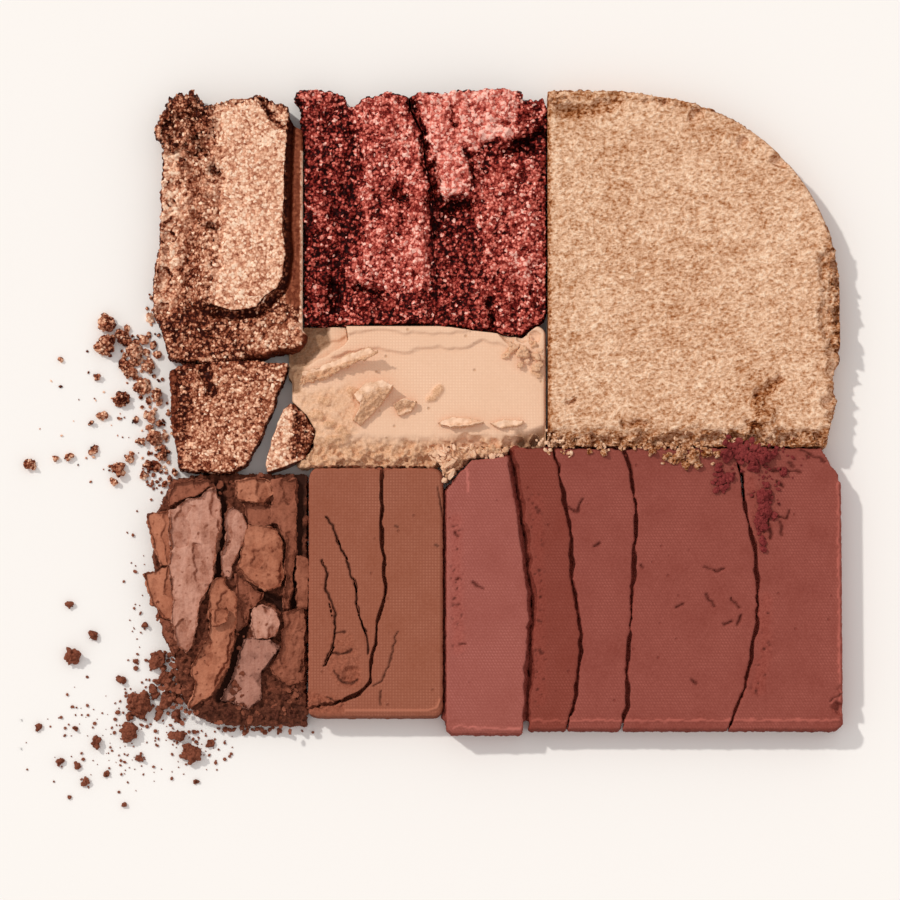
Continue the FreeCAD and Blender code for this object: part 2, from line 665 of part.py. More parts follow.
    chip = flake(
        cocoa.path((0.4, 0.455), (0.48, 0.46), (0.48, 0.42), (0.41, 0.4)),
        seat, 1.3 * thick, 0.1, 0.1, 32,
    )
    pieces["cocoa_square_chip"] = largest(chip.cut(tan))
    return pieces


def brown_pieces():
    block = moulded_block(brown, BROWN_THICKNESS)
    main_crack = kerf(
        brown.path(
            (0.56, 1.05), (0.54, 0.88), (0.545, 0.75), (0.57, 0.49), (0.51, 0.38), (0.5, 0.29),
            (0.465, 0.22), (0.46, 0.14), (0.37, 0.09), (0.24, 0.06), (-0.07, 0.025),
        ),
        CRACK, 33,
    )
    floor = BROWN_THICKNESS - HAIR_CRACK_DEPTH
    first_hair = kerf(
        brown.path((0.13, 0.8), (0.28, 0.64), (0.34, 0.54), (0.36, 0.44), (0.4, 0.37), (0.44, 0.26)),
        HAIR_CRACK, 34, floor,
    )
    second_hair = kerf(
        brown.path((0.1, 0.63), (0.14, 0.56), (0.12, 0.51), (0.2, 0.37), (0.19, 0.28), (0.12, 0.2)),
        HAIR_CRACK, 35, floor,
    )
    whole = block.cut([clearance(COPPER_SHARD), main_crack, first_hair, second_hair])
    left, right = by_place(whole, 2)
    return {"brown_left_slab": left, "brown_right_slab": right}


def mauve_pieces():
    block = moulded_block(mauve, MAUVE_THICKNESS)
    upper_left = mauve.path(
        (-0.02, 0.85), (0.005, 0.87), (0.066, 0.97), (0.135, 0.98), (0.165, 0.985), (0.165, 1.03),
        (-0.02, 1.03),
    )
    upper_right = mauve.path(
        (0.95, 1.03), (0.952, 0.99), (0.977, 0.93), (0.99, 0.91), (0.992, 0.88), (1.02, 0.87),
        (1.02, 1.03),
    )
    cracks = [
        kerf(
            mauve.path(
                (0.157, 1.03), (0.178, 0.87), (0.201, 0.67), (0.218, 0.43), (0.213, 0.32),
                (0.206, 0.14), (0.2, -0.04),
            ),
            WIDE_CRACK, 36,
        ),
        kerf(
            mauve.path(
                (0.266, 1.03), (0.297, 0.84), (0.305, 0.76), (0.315, 0.65), (0.316, 0.53),
                (0.34, 0.34), (0.33, 0.18), (0.322, 0.1), (0.292, -0.04),
            ),
            CRACK, 37,
        ),
        kerf(
            mauve.path(
                (0.439, 1.03), (0.467, 0.92), (0.48, 0.8), (0.479, 0.71), (0.464, 0.34),
                (0.454, 0.21), (0.457, 0.08), (0.429, -0.04),
            ),
            CRACK, 38,
        ),
        kerf(
            mauve.path(
                (0.734, 1.03), (0.751, 0.84), (0.779, 0.66), (0.787, 0.5), (0.782, 0.35),
                (0.754, 0.15), (0.731, 0.08), (0.698, -0.04),
            ),
            CRACK, 39,
        ),
    ]
    corners = [prism(ragged(path, BREAK_DEPTH, 41), -1, TALL) for path in (upper_left, upper_right)]
    chips = bites(mauve.path((0.998, 0.17), (0.998, 0.06)), 2, MAUVE_THICKNESS, 250)
    slabs = by_place(block.cut(cracks + corners + chips), 5)
    slabs[0] = leaning(slabs[0], 1.2)
    slabs[0].translate(V(-CAKE_GAP, -2 * CAKE_GAP, 0))
    slabs[1] = leaning(slabs[1], 0.8)
    pieces = {"mauve_slab_" + letter: slab for letter, slab in zip("abcde", slabs)}
    pieces["berry_crumbs"] = crumbs(
        mauve, MAUVE_THICKNESS, 260,
        (0.71, 0.975, 1.3), (0.8, 0.97, 1.5), (0.83, 0.985, 0.8), (0.78, 0.93, 1.1),
        (0.69, 0.925, 0.9), (0.72, 0.9, 0.8), (0.8, 0.83, 1.3), (0.805, 0.77, 1.2),
        (0.79, 0.72, 0.9), (0.85, 0.91, 0.7), (0.84, 0.8, 0.6),
    )
    return pieces


def table_crumbs():
    """Crumbs that lie loose on the table to the left of the copper and cocoa cakes."""
    return {
        "copper_crumbs": crumbs(
            copper, 0, 300,
            (-0.36, 0.41, 1.9), (-0.37, 0.345, 2.4), (-0.25, 0.37, 1.3), (-0.17, 0.33, 1.7),
            (-0.22, 0.28, 1.4), (-0.08, 0.29, 1.4), (-0.12, 0.235, 1.5), (-0.02, 0.22, 1.2),
            (-0.26, 0.2, 1.4), (-0.06, 0.16, 1.3), (-0.16, 0.15, 0.9), (-0.39, 0.16, 0.7),
            (-0.03, 0.1, 1.4), (-0.12, 0.09, 1.0), (0.03, 0.05, 1.1), (-0.07, 0.03, 1.2),
            (-0.19, 0.045, 1.1), (-0.28, 0.015, 1.6), (-0.43, 0.265, 0.7), (-0.68, 0.31, 0.6),
            (-0.45, 0.07, 0.9), (-0.62, 0.05, 0.9), (-0.89, 0.03, 1.1), (-0.3, -0.02, 0.7),
            (-0.47, 0.14, 0.6), (-0.71, 0.045, 0.5), (-0.1, 0.0, 0.7),
        ),
        "cocoa_crumbs": crumbs(
            cocoa, 0, 340,
            (-0.07, 0.1, 2.5), (0.04, 0.275, 1.7), (-0.5, 0.29, 1.6), (-0.13, -0.01, 1.7),
            (0.26, -0.1, 1.8), (0.19, -0.03, 1.2), (0.38, -0.06, 0.9), (-0.35, -0.06, 1.1),
            (-0.48, 0.0, 0.7), (-0.72, 0.0, 0.6), (-0.58, -0.13, 0.8), (-0.47, -0.15, 0.7),
            (-0.41, -0.21, 0.8), (-0.28, -0.18, 0.8), (-0.07, -0.115, 0.8), (-0.52, -0.27, 0.5),
            (-0.17, -0.3, 0.6), (0.3, -0.21, 0.6), (-0.37, 0.37, 0.9), (-0.04, 0.41, 0.6),
            (-0.53, 0.49, 0.6), (0.08, 0.2, 1.5), (0.12, 0.12, 1.6), (0.05, 0.06, 1.1),
            (0.17, 0.05, 1.2), (0.02, 0.15, 0.9), (-0.2, 0.2, 0.8), (-0.14, 0.05, 0.8),
        ),
    }


nodes = {}
for make in (
    copper_pieces, burgundy_pieces, champagne_pieces, cream_pieces,
    cocoa_pieces, brown_pieces, mauve_pieces, table_crumbs,
):
    nodes.update(make())

# The origin is the middle of the whole set, on the table.
box = Part.makeCompound(list(nodes.values())).BoundBox
to_origin = V(-box.Center.x, -box.Center.y, -box.ZMin)
os.makedirs("parts", exist_ok=True)
for name, shape in nodes.items():
    placed = shape.translated(to_origin)
    placed.exportStep("parts/" + name + ".step")
    print(name, len(placed.Solids), "solid(s)", round(placed.Volume, 2), "mm3", placed.isValid())
print("shift", to_origin, "box", box.XLength, box.YLength, box.ZLength)
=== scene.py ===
# %% [markdown]
# # Broken pressed-powder cakes
# model.glb brings in every cake, flake and crumb as a plain solid of the right size and place.
# This lesson gives each one the surface that pressed powder has: a face that the press cloth
# printed, walls that broke, and grains that glitter. The box of the solids is kept first, so that
# the dressed pieces can be kept inside it.

# %% Load the solids
import math
import random

import bpy
import mathutils
import numpy as np
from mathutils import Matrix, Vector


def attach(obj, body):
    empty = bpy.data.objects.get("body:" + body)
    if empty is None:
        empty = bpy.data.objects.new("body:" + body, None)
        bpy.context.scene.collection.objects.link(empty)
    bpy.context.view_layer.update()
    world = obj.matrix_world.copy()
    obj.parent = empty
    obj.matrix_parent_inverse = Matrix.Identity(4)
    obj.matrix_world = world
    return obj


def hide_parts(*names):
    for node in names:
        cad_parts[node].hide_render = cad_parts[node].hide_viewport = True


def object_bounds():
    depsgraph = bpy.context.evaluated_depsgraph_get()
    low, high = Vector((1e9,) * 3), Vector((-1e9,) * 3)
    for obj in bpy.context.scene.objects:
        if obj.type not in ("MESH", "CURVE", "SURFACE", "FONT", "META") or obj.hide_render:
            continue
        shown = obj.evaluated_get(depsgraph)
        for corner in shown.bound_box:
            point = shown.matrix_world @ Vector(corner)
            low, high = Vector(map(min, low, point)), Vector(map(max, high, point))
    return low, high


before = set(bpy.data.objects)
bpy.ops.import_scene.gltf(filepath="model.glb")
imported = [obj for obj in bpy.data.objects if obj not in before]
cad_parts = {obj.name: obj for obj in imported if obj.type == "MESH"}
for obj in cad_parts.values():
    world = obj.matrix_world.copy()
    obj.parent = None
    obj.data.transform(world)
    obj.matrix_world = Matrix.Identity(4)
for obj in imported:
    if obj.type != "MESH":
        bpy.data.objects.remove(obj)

MM = 0.001
cad_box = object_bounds()
print("solids:", len(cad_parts), "box:", cad_box)

# %% [markdown]
# ## Camera
# The photograph looks almost straight down, from slightly in front, so that the front walls of the
# cakes show as thin dark strips. A long lens far away keeps the lines parallel, as a product
# photographer would. The picture is square and takes in 90 mm at the top of the cakes.

# %% Place the camera
VIEW_WIDTH = 90 * MM
VIEW_HEIGHT = 83
VIEW_DISTANCE = 600 * MM
VIEW_CENTRE = (1.87 * MM, -0.9 * MM, 3 * MM)

camera_data = bpy.data.cameras.new("Camera")
camera_data.sensor_width = 36
camera_data.lens = camera_data.sensor_width * VIEW_DISTANCE / VIEW_WIDTH
camera_data.clip_start = 0.01
camera = bpy.data.objects.new("Camera", camera_data)
bpy.context.collection.objects.link(camera)
tilt = math.radians(VIEW_HEIGHT)
camera.location = (
    VIEW_CENTRE[0],
    VIEW_CENTRE[1] - VIEW_DISTANCE * math.cos(tilt),
    VIEW_CENTRE[2] + VIEW_DISTANCE * math.sin(tilt),
)
camera.rotation_euler = (math.pi / 2 - tilt, 0, 0)
bpy.context.scene.camera = camera
print("lens:", round(camera_data.lens), "mm")

# %% [markdown]
# ## Light and table
# One lamp stands at the upper left, about as high as it is far, and throws the short shadows to the
# lower right. A pale surrounding light fills them to about half the brightness of the table.

# %% Light the table
bpy.context.scene.view_settings.view_transform = "Standard"


def shade(red, green, blue):
    """A colour as it is read off a picture, 0 to 255, turned into the values that light uses."""
    values = [channel / 255 for channel in (red, green, blue)]
    return tuple(v / 12.92 if v < 0.04045 else ((v + 0.055) / 1.055) ** 2.4 for v in values) + (1,)


FILL_STRENGTH = 0.69
KEY_STRENGTH = 1.5
KEY_SPREAD = math.radians(3)
KEY_HEIGHT = math.radians(44)
KEY_TURN = math.atan2(0.62, -0.78)

world = bpy.data.worlds.new("Studio")
world.use_nodes = True
sky = world.node_tree.nodes["Background"]
sky.inputs["Color"].default_value = (1, 0.985, 1, 1)
sky.inputs["Strength"].default_value = FILL_STRENGTH
bpy.context.scene.world = world

key_data = bpy.data.lights.new("Key", "SUN")
key_data.energy = KEY_STRENGTH
key_data.color = (1, 1, 0.97)
key_data.angle = KEY_SPREAD
key = bpy.data.objects.new("Key", key_data)
key.rotation_euler = (0, math.pi / 2 - KEY_HEIGHT, KEY_TURN)
bpy.context.collection.objects.link(key)

bpy.ops.object.select_all(action="DESELECT")
bpy.ops.mesh.primitive_plane_add(size=2, location=(0, 0, -0.02 * MM))
table = bpy.context.object
table.name = "table"
table_paint = bpy.data.materials.new("table_paint")
table_paint.use_nodes = True
table_shader = table_paint.node_tree.nodes["Principled BSDF"]
table_shader.inputs["Base Color"].default_value = shade(251, 246, 240)
table_shader.inputs["Roughness"].default_value = 0.9
table_shader.inputs["Specular IOR Level"].default_value = 0.0
table.data.materials.append(table_paint)
print("table and lamp ready")

# %% [markdown]
# ## Shared effects
# Pressed powder shows the same few effects in every shade, so each is a node group that any finish
# can use: glitter plates, crumpled foil, the print of the press cloth, and the grain of loose
# powder. A group only gives out values; the shader itself stays in each finish.

# %% Node helpers
def new_group(name, inputs, outputs):
    """An empty shader group with named sockets; returns the tree and its two end nodes."""
    tree = bpy.data.node_groups.new(name, "ShaderNodeTree")
    for label, kind, value in inputs:
        socket = tree.interface.new_socket(label, in_out="INPUT", socket_type=kind)
        if value is not None:
            socket.default_value = value
    for label in outputs:
        tree.interface.new_socket(label, in_out="OUTPUT", socket_type="NodeSocketFloat")
    return tree, tree.nodes.new("NodeGroupInput"), tree.nodes.new("NodeGroupOutput")


def set_or_link(tree, socket, value):
    """Sets a constant on a socket, or links another socket to it."""
    if isinstance(value, (int, float, tuple)):
        socket.default_value = value
    else:
        tree.links.new(value, socket)


def calc(tree, operation, *values):
    """A Math node whose inputs are numbers or other sockets; returns its output."""
    node = tree.nodes.new("ShaderNodeMath")
    node.operation = operation
    for socket, value in zip(node.inputs, values):
        set_or_link(tree, socket, value)
    return node.outputs[0]


def wire(tree, *pairs):
    """Links each pair of sockets, from an output to an input."""
    for start, end in pairs:
        tree.links.new(start, end)


def noise(tree, place, scale, detail=3.0, roughness=0.55):
    node = tree.nodes.new("ShaderNodeTexNoise")
    node.inputs["Detail"].default_value = detail
    node.inputs["Roughness"].default_value = roughness
    tree.links.new(place, node.inputs["Vector"])
    set_or_link(tree, node.inputs["Scale"], scale)
    return node.outputs["Fac"]


def stretch(tree, place, turn, scale):
    """Turns the coordinates about Z and stretches them, for a grain that runs one way."""
    node = tree.nodes.new("ShaderNodeMapping")
    node.inputs["Rotation"].default_value = (0, 0, turn)
    node.inputs["Scale"].default_value = scale
    tree.links.new(place, node.inputs["Vector"])
    return node.outputs["Vector"]


print("node helpers ready")

# %% [markdown]
# ### Glitter plates
# Coarse shimmer powder is pressed mica: flat plates a fraction of a millimetre wide, each tilted
# its own way. A Voronoi pattern on bent coordinates gives every plate a ragged outline and one random
# brightness, a painted reflection of the light that the tilted plate throws back; a finer noise
# breaks it up, and one plate in ten gets a painted glint. A slow noise lets the shade drift from
# place to place.

# %% Glitter plates
GRAIN_SOCKETS = [("Vector", "NodeSocketVector", None), ("Grain", "NodeSocketFloat", 0.3 * MM)]

glitter, ends_in, ends_out = new_group("Glitter plates", GRAIN_SOCKETS, ["Plate", "Facet", "Drift"])
place, grain = ends_in.outputs["Vector"], ends_in.outputs["Grain"]
per_metre = calc(glitter, "DIVIDE", 1.0, grain)
sway = glitter.nodes.new("ShaderNodeTexNoise")
shift = glitter.nodes.new("ShaderNodeVectorMath")
shift.operation = "SCALE"
bent = glitter.nodes.new("ShaderNodeVectorMath")
plates = glitter.nodes.new("ShaderNodeTexVoronoi")
plate_colour = glitter.nodes.new("ShaderNodeSeparateColor")
wire(
    glitter, (place, sway.inputs["Vector"]), (per_metre, sway.inputs["Scale"]),
    (sway.outputs["Color"], shift.inputs[0]), (grain, shift.inputs["Scale"]),
    (place, bent.inputs[0]), (shift.outputs["Vector"], bent.inputs[1]),
    (bent.outputs["Vector"], plates.inputs["Vector"]), (per_metre, plates.inputs["Scale"]),
    (plates.outputs["Color"], plate_colour.inputs["Color"]),
)
crystals = noise(glitter, place, calc(glitter, "MULTIPLY", per_metre, 1.3), 1.0)
# Painted reflection: the plate brightness, its bright centre and the glint stand in for the lamp light thrown
# back by tilted plates.
centre = calc(glitter, "MULTIPLY_ADD", plates.outputs["Distance"], -0.5, 0.18)
bright = calc(glitter, "MULTIPLY_ADD", plate_colour.outputs["Red"], 0.6, centre)
painted_glint = calc(glitter, "GREATER_THAN", plate_colour.outputs["Blue"], 0.9)
bright = calc(glitter, "MULTIPLY_ADD", painted_glint, 0.3, bright)
slow = noise(glitter, place, calc(glitter, "DIVIDE", per_metre, 6.0), 3.0)
wire(
    glitter, (calc(glitter, "MULTIPLY_ADD", crystals, 0.55, bright), ends_out.inputs["Plate"]),
    (plate_colour.outputs["Green"], ends_out.inputs["Facet"]), (slow, ends_out.inputs["Drift"]),
)
print("glitter plates:", len(glitter.nodes), "nodes")

# %% [markdown]
# ### Crumpled foil
# The finer champagne shimmer has no plates that the eye can part. Pressed, it looks like crumpled
# foil or damp sand, so two sizes of noise stand in for the plates, and the light and dark of their
# creases is painted into the colour as the sheen of the crumpled face. The group has the same
# sockets, and a finish can take either.

# %% Crumpled foil
foil, ends_in, ends_out = new_group("Crumpled foil", GRAIN_SOCKETS, ["Plate", "Facet", "Drift"])
place = ends_in.outputs["Vector"]
per_metre = calc(foil, "DIVIDE", 1.0, ends_in.outputs["Grain"])
creases = noise(foil, place, per_metre, 2.0, 0.6)
folds = noise(foil, place, calc(foil, "DIVIDE", per_metre, 2.6), 2.0)
# The creases are painted into the colour as the light and shade of the crumpled face.
sharp = calc(foil, "MULTIPLY_ADD", creases, 2.2, -0.47)
crumple = calc(foil, "MULTIPLY_ADD", calc(foil, "SUBTRACT", folds, 0.5), 0.9, sharp)
slow = noise(foil, place, calc(foil, "DIVIDE", per_metre, 18.0), 3.0)
wire(
    foil, (crumple, ends_out.inputs["Plate"]), (creases, ends_out.inputs["Facet"]),
    (slow, ends_out.inputs["Drift"]),
)
print("crumpled foil:", len(foil.nodes), "nodes")

# %% [markdown]
# ### Press cloth
# A matte cake is pressed under a ribbed cloth, which leaves fine crossing lines about a third of a
# millimetre apart. Two cosines across the face draw them, and a slant turns the square print into
# a twill.

# %% Press cloth
CLOTH_PITCH = 0.3 * MM

cloth, ends_in, ends_out = new_group(
    "Press cloth",
    [
        ("Vector", "NodeSocketVector", None),
        ("Pitch", "NodeSocketFloat", CLOTH_PITCH),
        ("Slant", "NodeSocketFloat", 0.0),
    ],
    ["Line"],
)
split = cloth.nodes.new("ShaderNodeSeparateXYZ")
cloth.links.new(ends_in.outputs["Vector"], split.inputs["Vector"])
turns = calc(cloth, "DIVIDE", 2 * math.pi, ends_in.outputs["Pitch"])
lean_x = calc(cloth, "MULTIPLY_ADD", split.outputs["Y"], ends_in.outputs["Slant"], split.outputs["X"])
warp = calc(cloth, "COSINE", calc(cloth, "MULTIPLY", lean_x, turns))
weft = calc(cloth, "COSINE", calc(cloth, "MULTIPLY", split.outputs["Y"], turns))
crossing = calc(cloth, "MULTIPLY_ADD", calc(cloth, "MAXIMUM", warp, weft), 0.5, 0.5)
cloth.links.new(calc(cloth, "POWER", crossing, 2.2), ends_out.inputs["Line"])
print("press cloth:", len(cloth.nodes), "nodes")

# %% [markdown]
# ### Powder grain
# Loose powder has a very fine grain, slow patches where more dust lies, and a few pits where a
# grain fell out.

# %% Powder grain
powder, ends_in, ends_out = new_group(
    "Powder grain", [("Vector", "NodeSocketVector", None)], ["Fine", "Patch", "Pit"]
)
place = ends_in.outputs["Vector"]
fine = noise(powder, place, 5200.0, 3.0, 0.65)
patches = noise(powder, place, 260.0, 4.0)
pores = powder.nodes.new("ShaderNodeTexVoronoi")
pores.inputs["Scale"].default_value = 520.0
pit = powder.nodes.new("ShaderNodeMapRange")
for label, value in (("From Min", 0.04), ("From Max", 0.1), ("To Min", 1.0), ("To Max", 0.0)):
    pit.inputs[label].default_value = value
wire(
    powder, (place, pores.inputs["Vector"]), (pores.outputs["Distance"], pit.inputs["Value"]),
    (fine, ends_out.inputs["Fine"]), (patches, ends_out.inputs["Patch"]),
    (pit.outputs["Result"], ends_out.inputs["Pit"]),
)
print("powder grain:", len(powder.nodes), "nodes")

# %% [markdown]
# ## Shimmer finish
# A shimmer shade runs through one ramp from torn and dark to pressed and bright. The attribute
# "light", painted on each piece further down, says how bright the powder is at each place: its own
# tone, and also painted shade in hollows, cracks and cast shadows and painted highlights on raised
# places and lit edges. The grains scatter about it: widely in torn powder, less on the pressed face,
# and hardly at all where the attribute "smooth" marks powder that a blade or a pan wall rubbed flat.

# %% Shimmer finish
def start_finish(name):
    """A new material; returns it, its tree, its shader and its Object coordinates."""
    material = bpy.data.materials.new(name)
    material.use_nodes = True
    tree = material.node_tree
    place = tree.nodes.new("ShaderNodeTexCoord").outputs["Object"]
    return material, tree, tree.nodes["Principled BSDF"], place


def painted(tree, attribute):
    node = tree.nodes.new("ShaderNodeAttribute")
    node.attribute_name = attribute
    return node.outputs["Fac"]


def ramp(tree, factor, *stops):
    node = tree.nodes.new("ShaderNodeValToRGB")
    elements = node.color_ramp.elements
    while len(elements) < len(stops):
        elements.new(0.5)
    for element, (position, colour) in zip(elements, stops):
        element.position = position
        element.color = shade(*colour)
    tree.links.new(factor, node.inputs["Fac"])
    return node.outputs["Color"]


def use_group(tree, group, place, **values):
    node = tree.nodes.new("ShaderNodeGroup")
    node.node_tree = group
    tree.links.new(place, node.inputs["Vector"])
    for label, value in values.items():
        node.inputs[label].default_value = value
    return node.outputs


def bump(tree, shader, height, depth):
    node = tree.nodes.new("ShaderNodeBump")
    node.inputs["Distance"].default_value = depth
    tree.links.new(height, node.inputs["Height"])
    tree.links.new(node.outputs["Normal"], shader.inputs["Normal"])


def shimmer_finish(name, group, grain, contrast, colours, depth, run=(0.0, (1, 1, 1))):
    """Mica powder; the grains scatter by contrast about the painted brightness."""
    material, tree, shader, place = start_finish(name)
    grains = use_group(tree, group, stretch(tree, place, *run), Grain=grain)
    # The painted brightness holds the powder's own tone and also painted light and shade.
    light = painted(tree, "light")
    reach = calc(tree, "MULTIPLY_ADD", light, -0.7 * contrast, 1.3 * contrast)
    calm = calc(tree, "MULTIPLY_ADD", painted(tree, "smooth"), -0.85, 1.0)
    scatter = calc(tree, "MULTIPLY", calc(tree, "SUBTRACT", grains["Plate"], 0.63), reach)
    drift = calc(tree, "MULTIPLY_ADD", grains["Drift"], 0.4, -0.2)
    uneven = calc(tree, "MULTIPLY", calc(tree, "ADD", scatter, drift), calm)
    tone = calc(tree, "ADD", uneven, light)
    stops = [(step / (len(colours) - 1), colour) for step, colour in enumerate(colours)]
    tree.links.new(ramp(tree, tone, *stops), shader.inputs["Base Color"])
    tree.links.new(calc(tree, "MULTIPLY_ADD", grains["Facet"], -0.3, 0.7), shader.inputs["Roughness"])
    shader.inputs["Metallic"].default_value = 0.15
    shader.inputs["Specular IOR Level"].default_value = 0.08
    bump(tree, shader, calc(tree, "ADD", grains["Facet"], grains["Plate"]), depth)
    return material


finishes = {}
SHIMMERS = {
    "copper": (
        glitter, 0.27 * MM, 1.1,
        ((50, 12, 4), (100, 40, 22), (156, 86, 58), (206, 142, 110), (240, 186, 152), (255, 220, 190)),
        0.035 * MM,
    ),
    "burgundy": (
        glitter, 0.31 * MM, 1.25,
        ((30, 0, 0), (80, 8, 6), (136, 40, 32), (190, 86, 72), (236, 134, 116), (255, 198, 180)),
        0.035 * MM,
    ),
    "champagne": (
        foil, 0.24 * MM, 0.8,
        ((82, 30, 4), (136, 72, 30), (182, 120, 76), (212, 162, 126), (240, 194, 158), (255, 220, 188)),
        0.07 * MM, (math.radians(-18), (0.72, 1, 1)),
    ),
}
for name, settings in SHIMMERS.items():
    finishes[name] = shimmer_finish(name + "_glitter", *settings)
print("shimmer finishes:", sorted(finishes))

# %% [markdown]
# ## Matte finish
# A matte shade has one colour with slow patches in it. The cloth lines are darker on the printed
# face, and the attribute "broken" swaps them for plain chalky grain on the walls. The attribute
# "crack" paints shade: it darkens the places so deep that hardly any light comes back, and the
# hollows, terraces and walls that lie in shadow. The attribute "pale" paints a highlight on burrs
# that catch the lamp, and pale scratches.

# %% Matte finish
def blend(tree, factor, first, second):
    node = tree.nodes.new("ShaderNodeMix")
    node.data_type = "RGBA"
    for socket, value in zip((node.inputs[0], node.inputs[6], node.inputs[7]), (factor, first, second)):
        set_or_link(tree, socket, value)
    return node.outputs[2]


def matte_finish(name, face, broken, lines=None, slant=0.0, streak=0.0):
    """Matte powder: face and broken are two colours each, lines is the colour of the cloth print."""
    material, tree, shader, place = start_finish(name)
    grain = use_group(tree, powder, place)
    torn = painted(tree, "broken")
    mixed = calc(tree, "MULTIPLY_ADD", grain["Fine"], 0.5, calc(tree, "MULTIPLY", grain["Patch"], 0.5))
    if streak:
        fibres = noise(tree, stretch(tree, place, 0.08, (1, 0.12, 0.3)), 2300.0, 2.0)
        mixed = calc(tree, "MULTIPLY_ADD", calc(tree, "SUBTRACT", fibres, 0.5), streak, mixed)
    top = ramp(tree, mixed, (0.35, face[0]), (0.65, face[1]))
    relief = calc(tree, "MULTIPLY", grain["Fine"], 0.6)
    if lines:
        printed = use_group(tree, cloth, place, Pitch=CLOTH_PITCH, Slant=slant)["Line"]
        worn = calc(tree, "MULTIPLY_ADD", grain["Patch"], 0.8, 0.2)
        kept = calc(tree, "MULTIPLY", worn, calc(tree, "SUBTRACT", 1.0, torn))
        printed = calc(tree, "MULTIPLY", printed, kept)
        top = blend(tree, printed, top, shade(*lines))
        relief = calc(tree, "MULTIPLY_ADD", printed, -0.6, relief)
    relief = calc(tree, "MULTIPLY_ADD", grain["Pit"], -2.0, relief)
    wall = ramp(tree, grain["Fine"], (0.32, broken[0]), (0.68, broken[1]))
    colour = blend(tree, torn, top, wall)
    # Pits turn towards the dark broken colour: torn powder, and painted shade in the pit.
    colour = blend(tree, calc(tree, "MULTIPLY", grain["Pit"], 0.6), colour, shade(*broken[0]))
    # Painted highlight: where "pale" is painted, the colour turns towards a lighter copy of the face.
    bright = shade(*(min(255, channel * 1.2) for channel in face[1]))
    colour = blend(tree, painted(tree, "pale"), colour, bright)
    # Painted shade: where "crack" is painted, the colour turns towards a dark copy of the broken powder.
    deep = shade(*(channel * 0.42 for channel in broken[0]))
    tree.links.new(blend(tree, painted(tree, "crack"), colour, deep), shader.inputs["Base Color"])
    shader.inputs["Roughness"].default_value = 0.9
    shader.inputs["Specular IOR Level"].default_value = 0.12
    bump(tree, shader, relief, 0.035 * MM)
    return material


TWILL = 0.6
MATTES = {
    "cream": (((235, 191, 158), (248, 206, 174)), ((196, 142, 102), (240, 192, 154)), (232, 185, 152)),
    # A lighter copy of the cream without the print: the shavings tilt to the lamp, and that light is painted
    # into the colour.
    "cream_shaving": (((244, 199, 166), (253, 213, 182)), ((190, 136, 98), (236, 188, 150))),
    "brown": (((148, 84, 61), (170, 106, 83)), ((128, 66, 46), (168, 100, 76)), (137, 75, 55)),
    "mauve": (((134, 64, 53), (164, 90, 78)), ((126, 52, 42), (160, 82, 68)), (131, 65, 54), TWILL),
    # Paler and darker copies of the mauve: painted sheen on slab a and painted shade on slab b.
    "mauve_sheen": (((150, 79, 68), (177, 104, 93)), ((136, 60, 50), (172, 92, 78)), (144, 75, 64), TWILL),
    "mauve_shaded": (((128, 58, 45), (151, 79, 66)), ((116, 46, 35), (150, 74, 60)), (118, 53, 41), TWILL),
    "berry": (((108, 34, 36), (146, 64, 60)), ((94, 22, 26), (146, 62, 58))),
    "cocoa_pink": (((182, 124, 102), (208, 154, 133)), ((122, 66, 47), (166, 104, 80)), None, 0, 0.5),
    "cocoa_tan": (((168, 101, 74), (191, 125, 96)), ((104, 50, 33), (158, 91, 65)), None, 0, 0.25),
    "cocoa_grey": (((156, 103, 86), (180, 128, 110)), ((96, 58, 47), (136, 88, 73)), None, 0, 0.5),
    "cocoa": (((138, 78, 57), (166, 101, 77)), ((92, 44, 30), (146, 83, 60)), None, 0, 0.5),
    # A dark copy of the cocoa, painted in shade, for the crumbs at the foot of the cake.
    "cocoa_shaded": (((66, 30, 20), (98, 52, 38)), ((60, 26, 17), (108, 58, 42))),
}
for name, settings in MATTES.items():
    finishes[name] = matte_finish(name + "_chalk", *settings)
print("finishes:", sorted(finishes))

# %% [markdown]
# ## Working on a copy of a solid
# Each solid is copied, its loose triangles are merged, and a voxel remesh gives it an even skin of
# small faces. Displace and Smooth modifiers then work on that skin, each limited by a vertex group.
# The weights are worked out from places on the picture, in tenths of a millimetre from its upper
# left corner.

# %% Copy and remesh
def pick(piece):
    bpy.ops.object.select_all(action="DESELECT")
    piece.select_set(True)
    bpy.context.view_layer.objects.active = piece


def powder_copy(node, voxel):
    """A copy of a solid with its triangles merged and its skin remeshed to small even faces."""
    piece = bpy.data.objects.new(node + "_powder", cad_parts[node].data.copy())
    bpy.context.collection.objects.link(piece)
    piece.data.materials.clear()
    pick(piece)
    bpy.ops.object.mode_set(mode="EDIT")
    bpy.ops.mesh.select_all(action="SELECT")
    bpy.ops.mesh.remove_doubles(threshold=0.0005 * MM)
    bpy.ops.object.mode_set(mode="OBJECT")
    remesh = piece.modifiers.new("even_skin", "REMESH")
    remesh.mode = "VOXEL"
    remesh.voxel_size = voxel * MM
    bpy.ops.object.modifier_apply(modifier=remesh.name)
    return piece


print("copies get their own even skin")

# %% Places and weights
PICTURE_LEFT = 43.13
PICTURE_TOP = 44.095
STEPS = 10
# Left alone, the vector noise takes its seed from the clock, and every run would bend the outlines anew.
OUTLINE_SEED = 1795636939
mathutils.noise.seed_set(OUTLINE_SEED)


def spots(*places):
    """Places on the picture, in tenths of a millimetre across and down, as millimetres in the frame."""
    return np.array([(across / STEPS - PICTURE_LEFT, PICTURE_TOP - down / STEPS) for across, down in places])


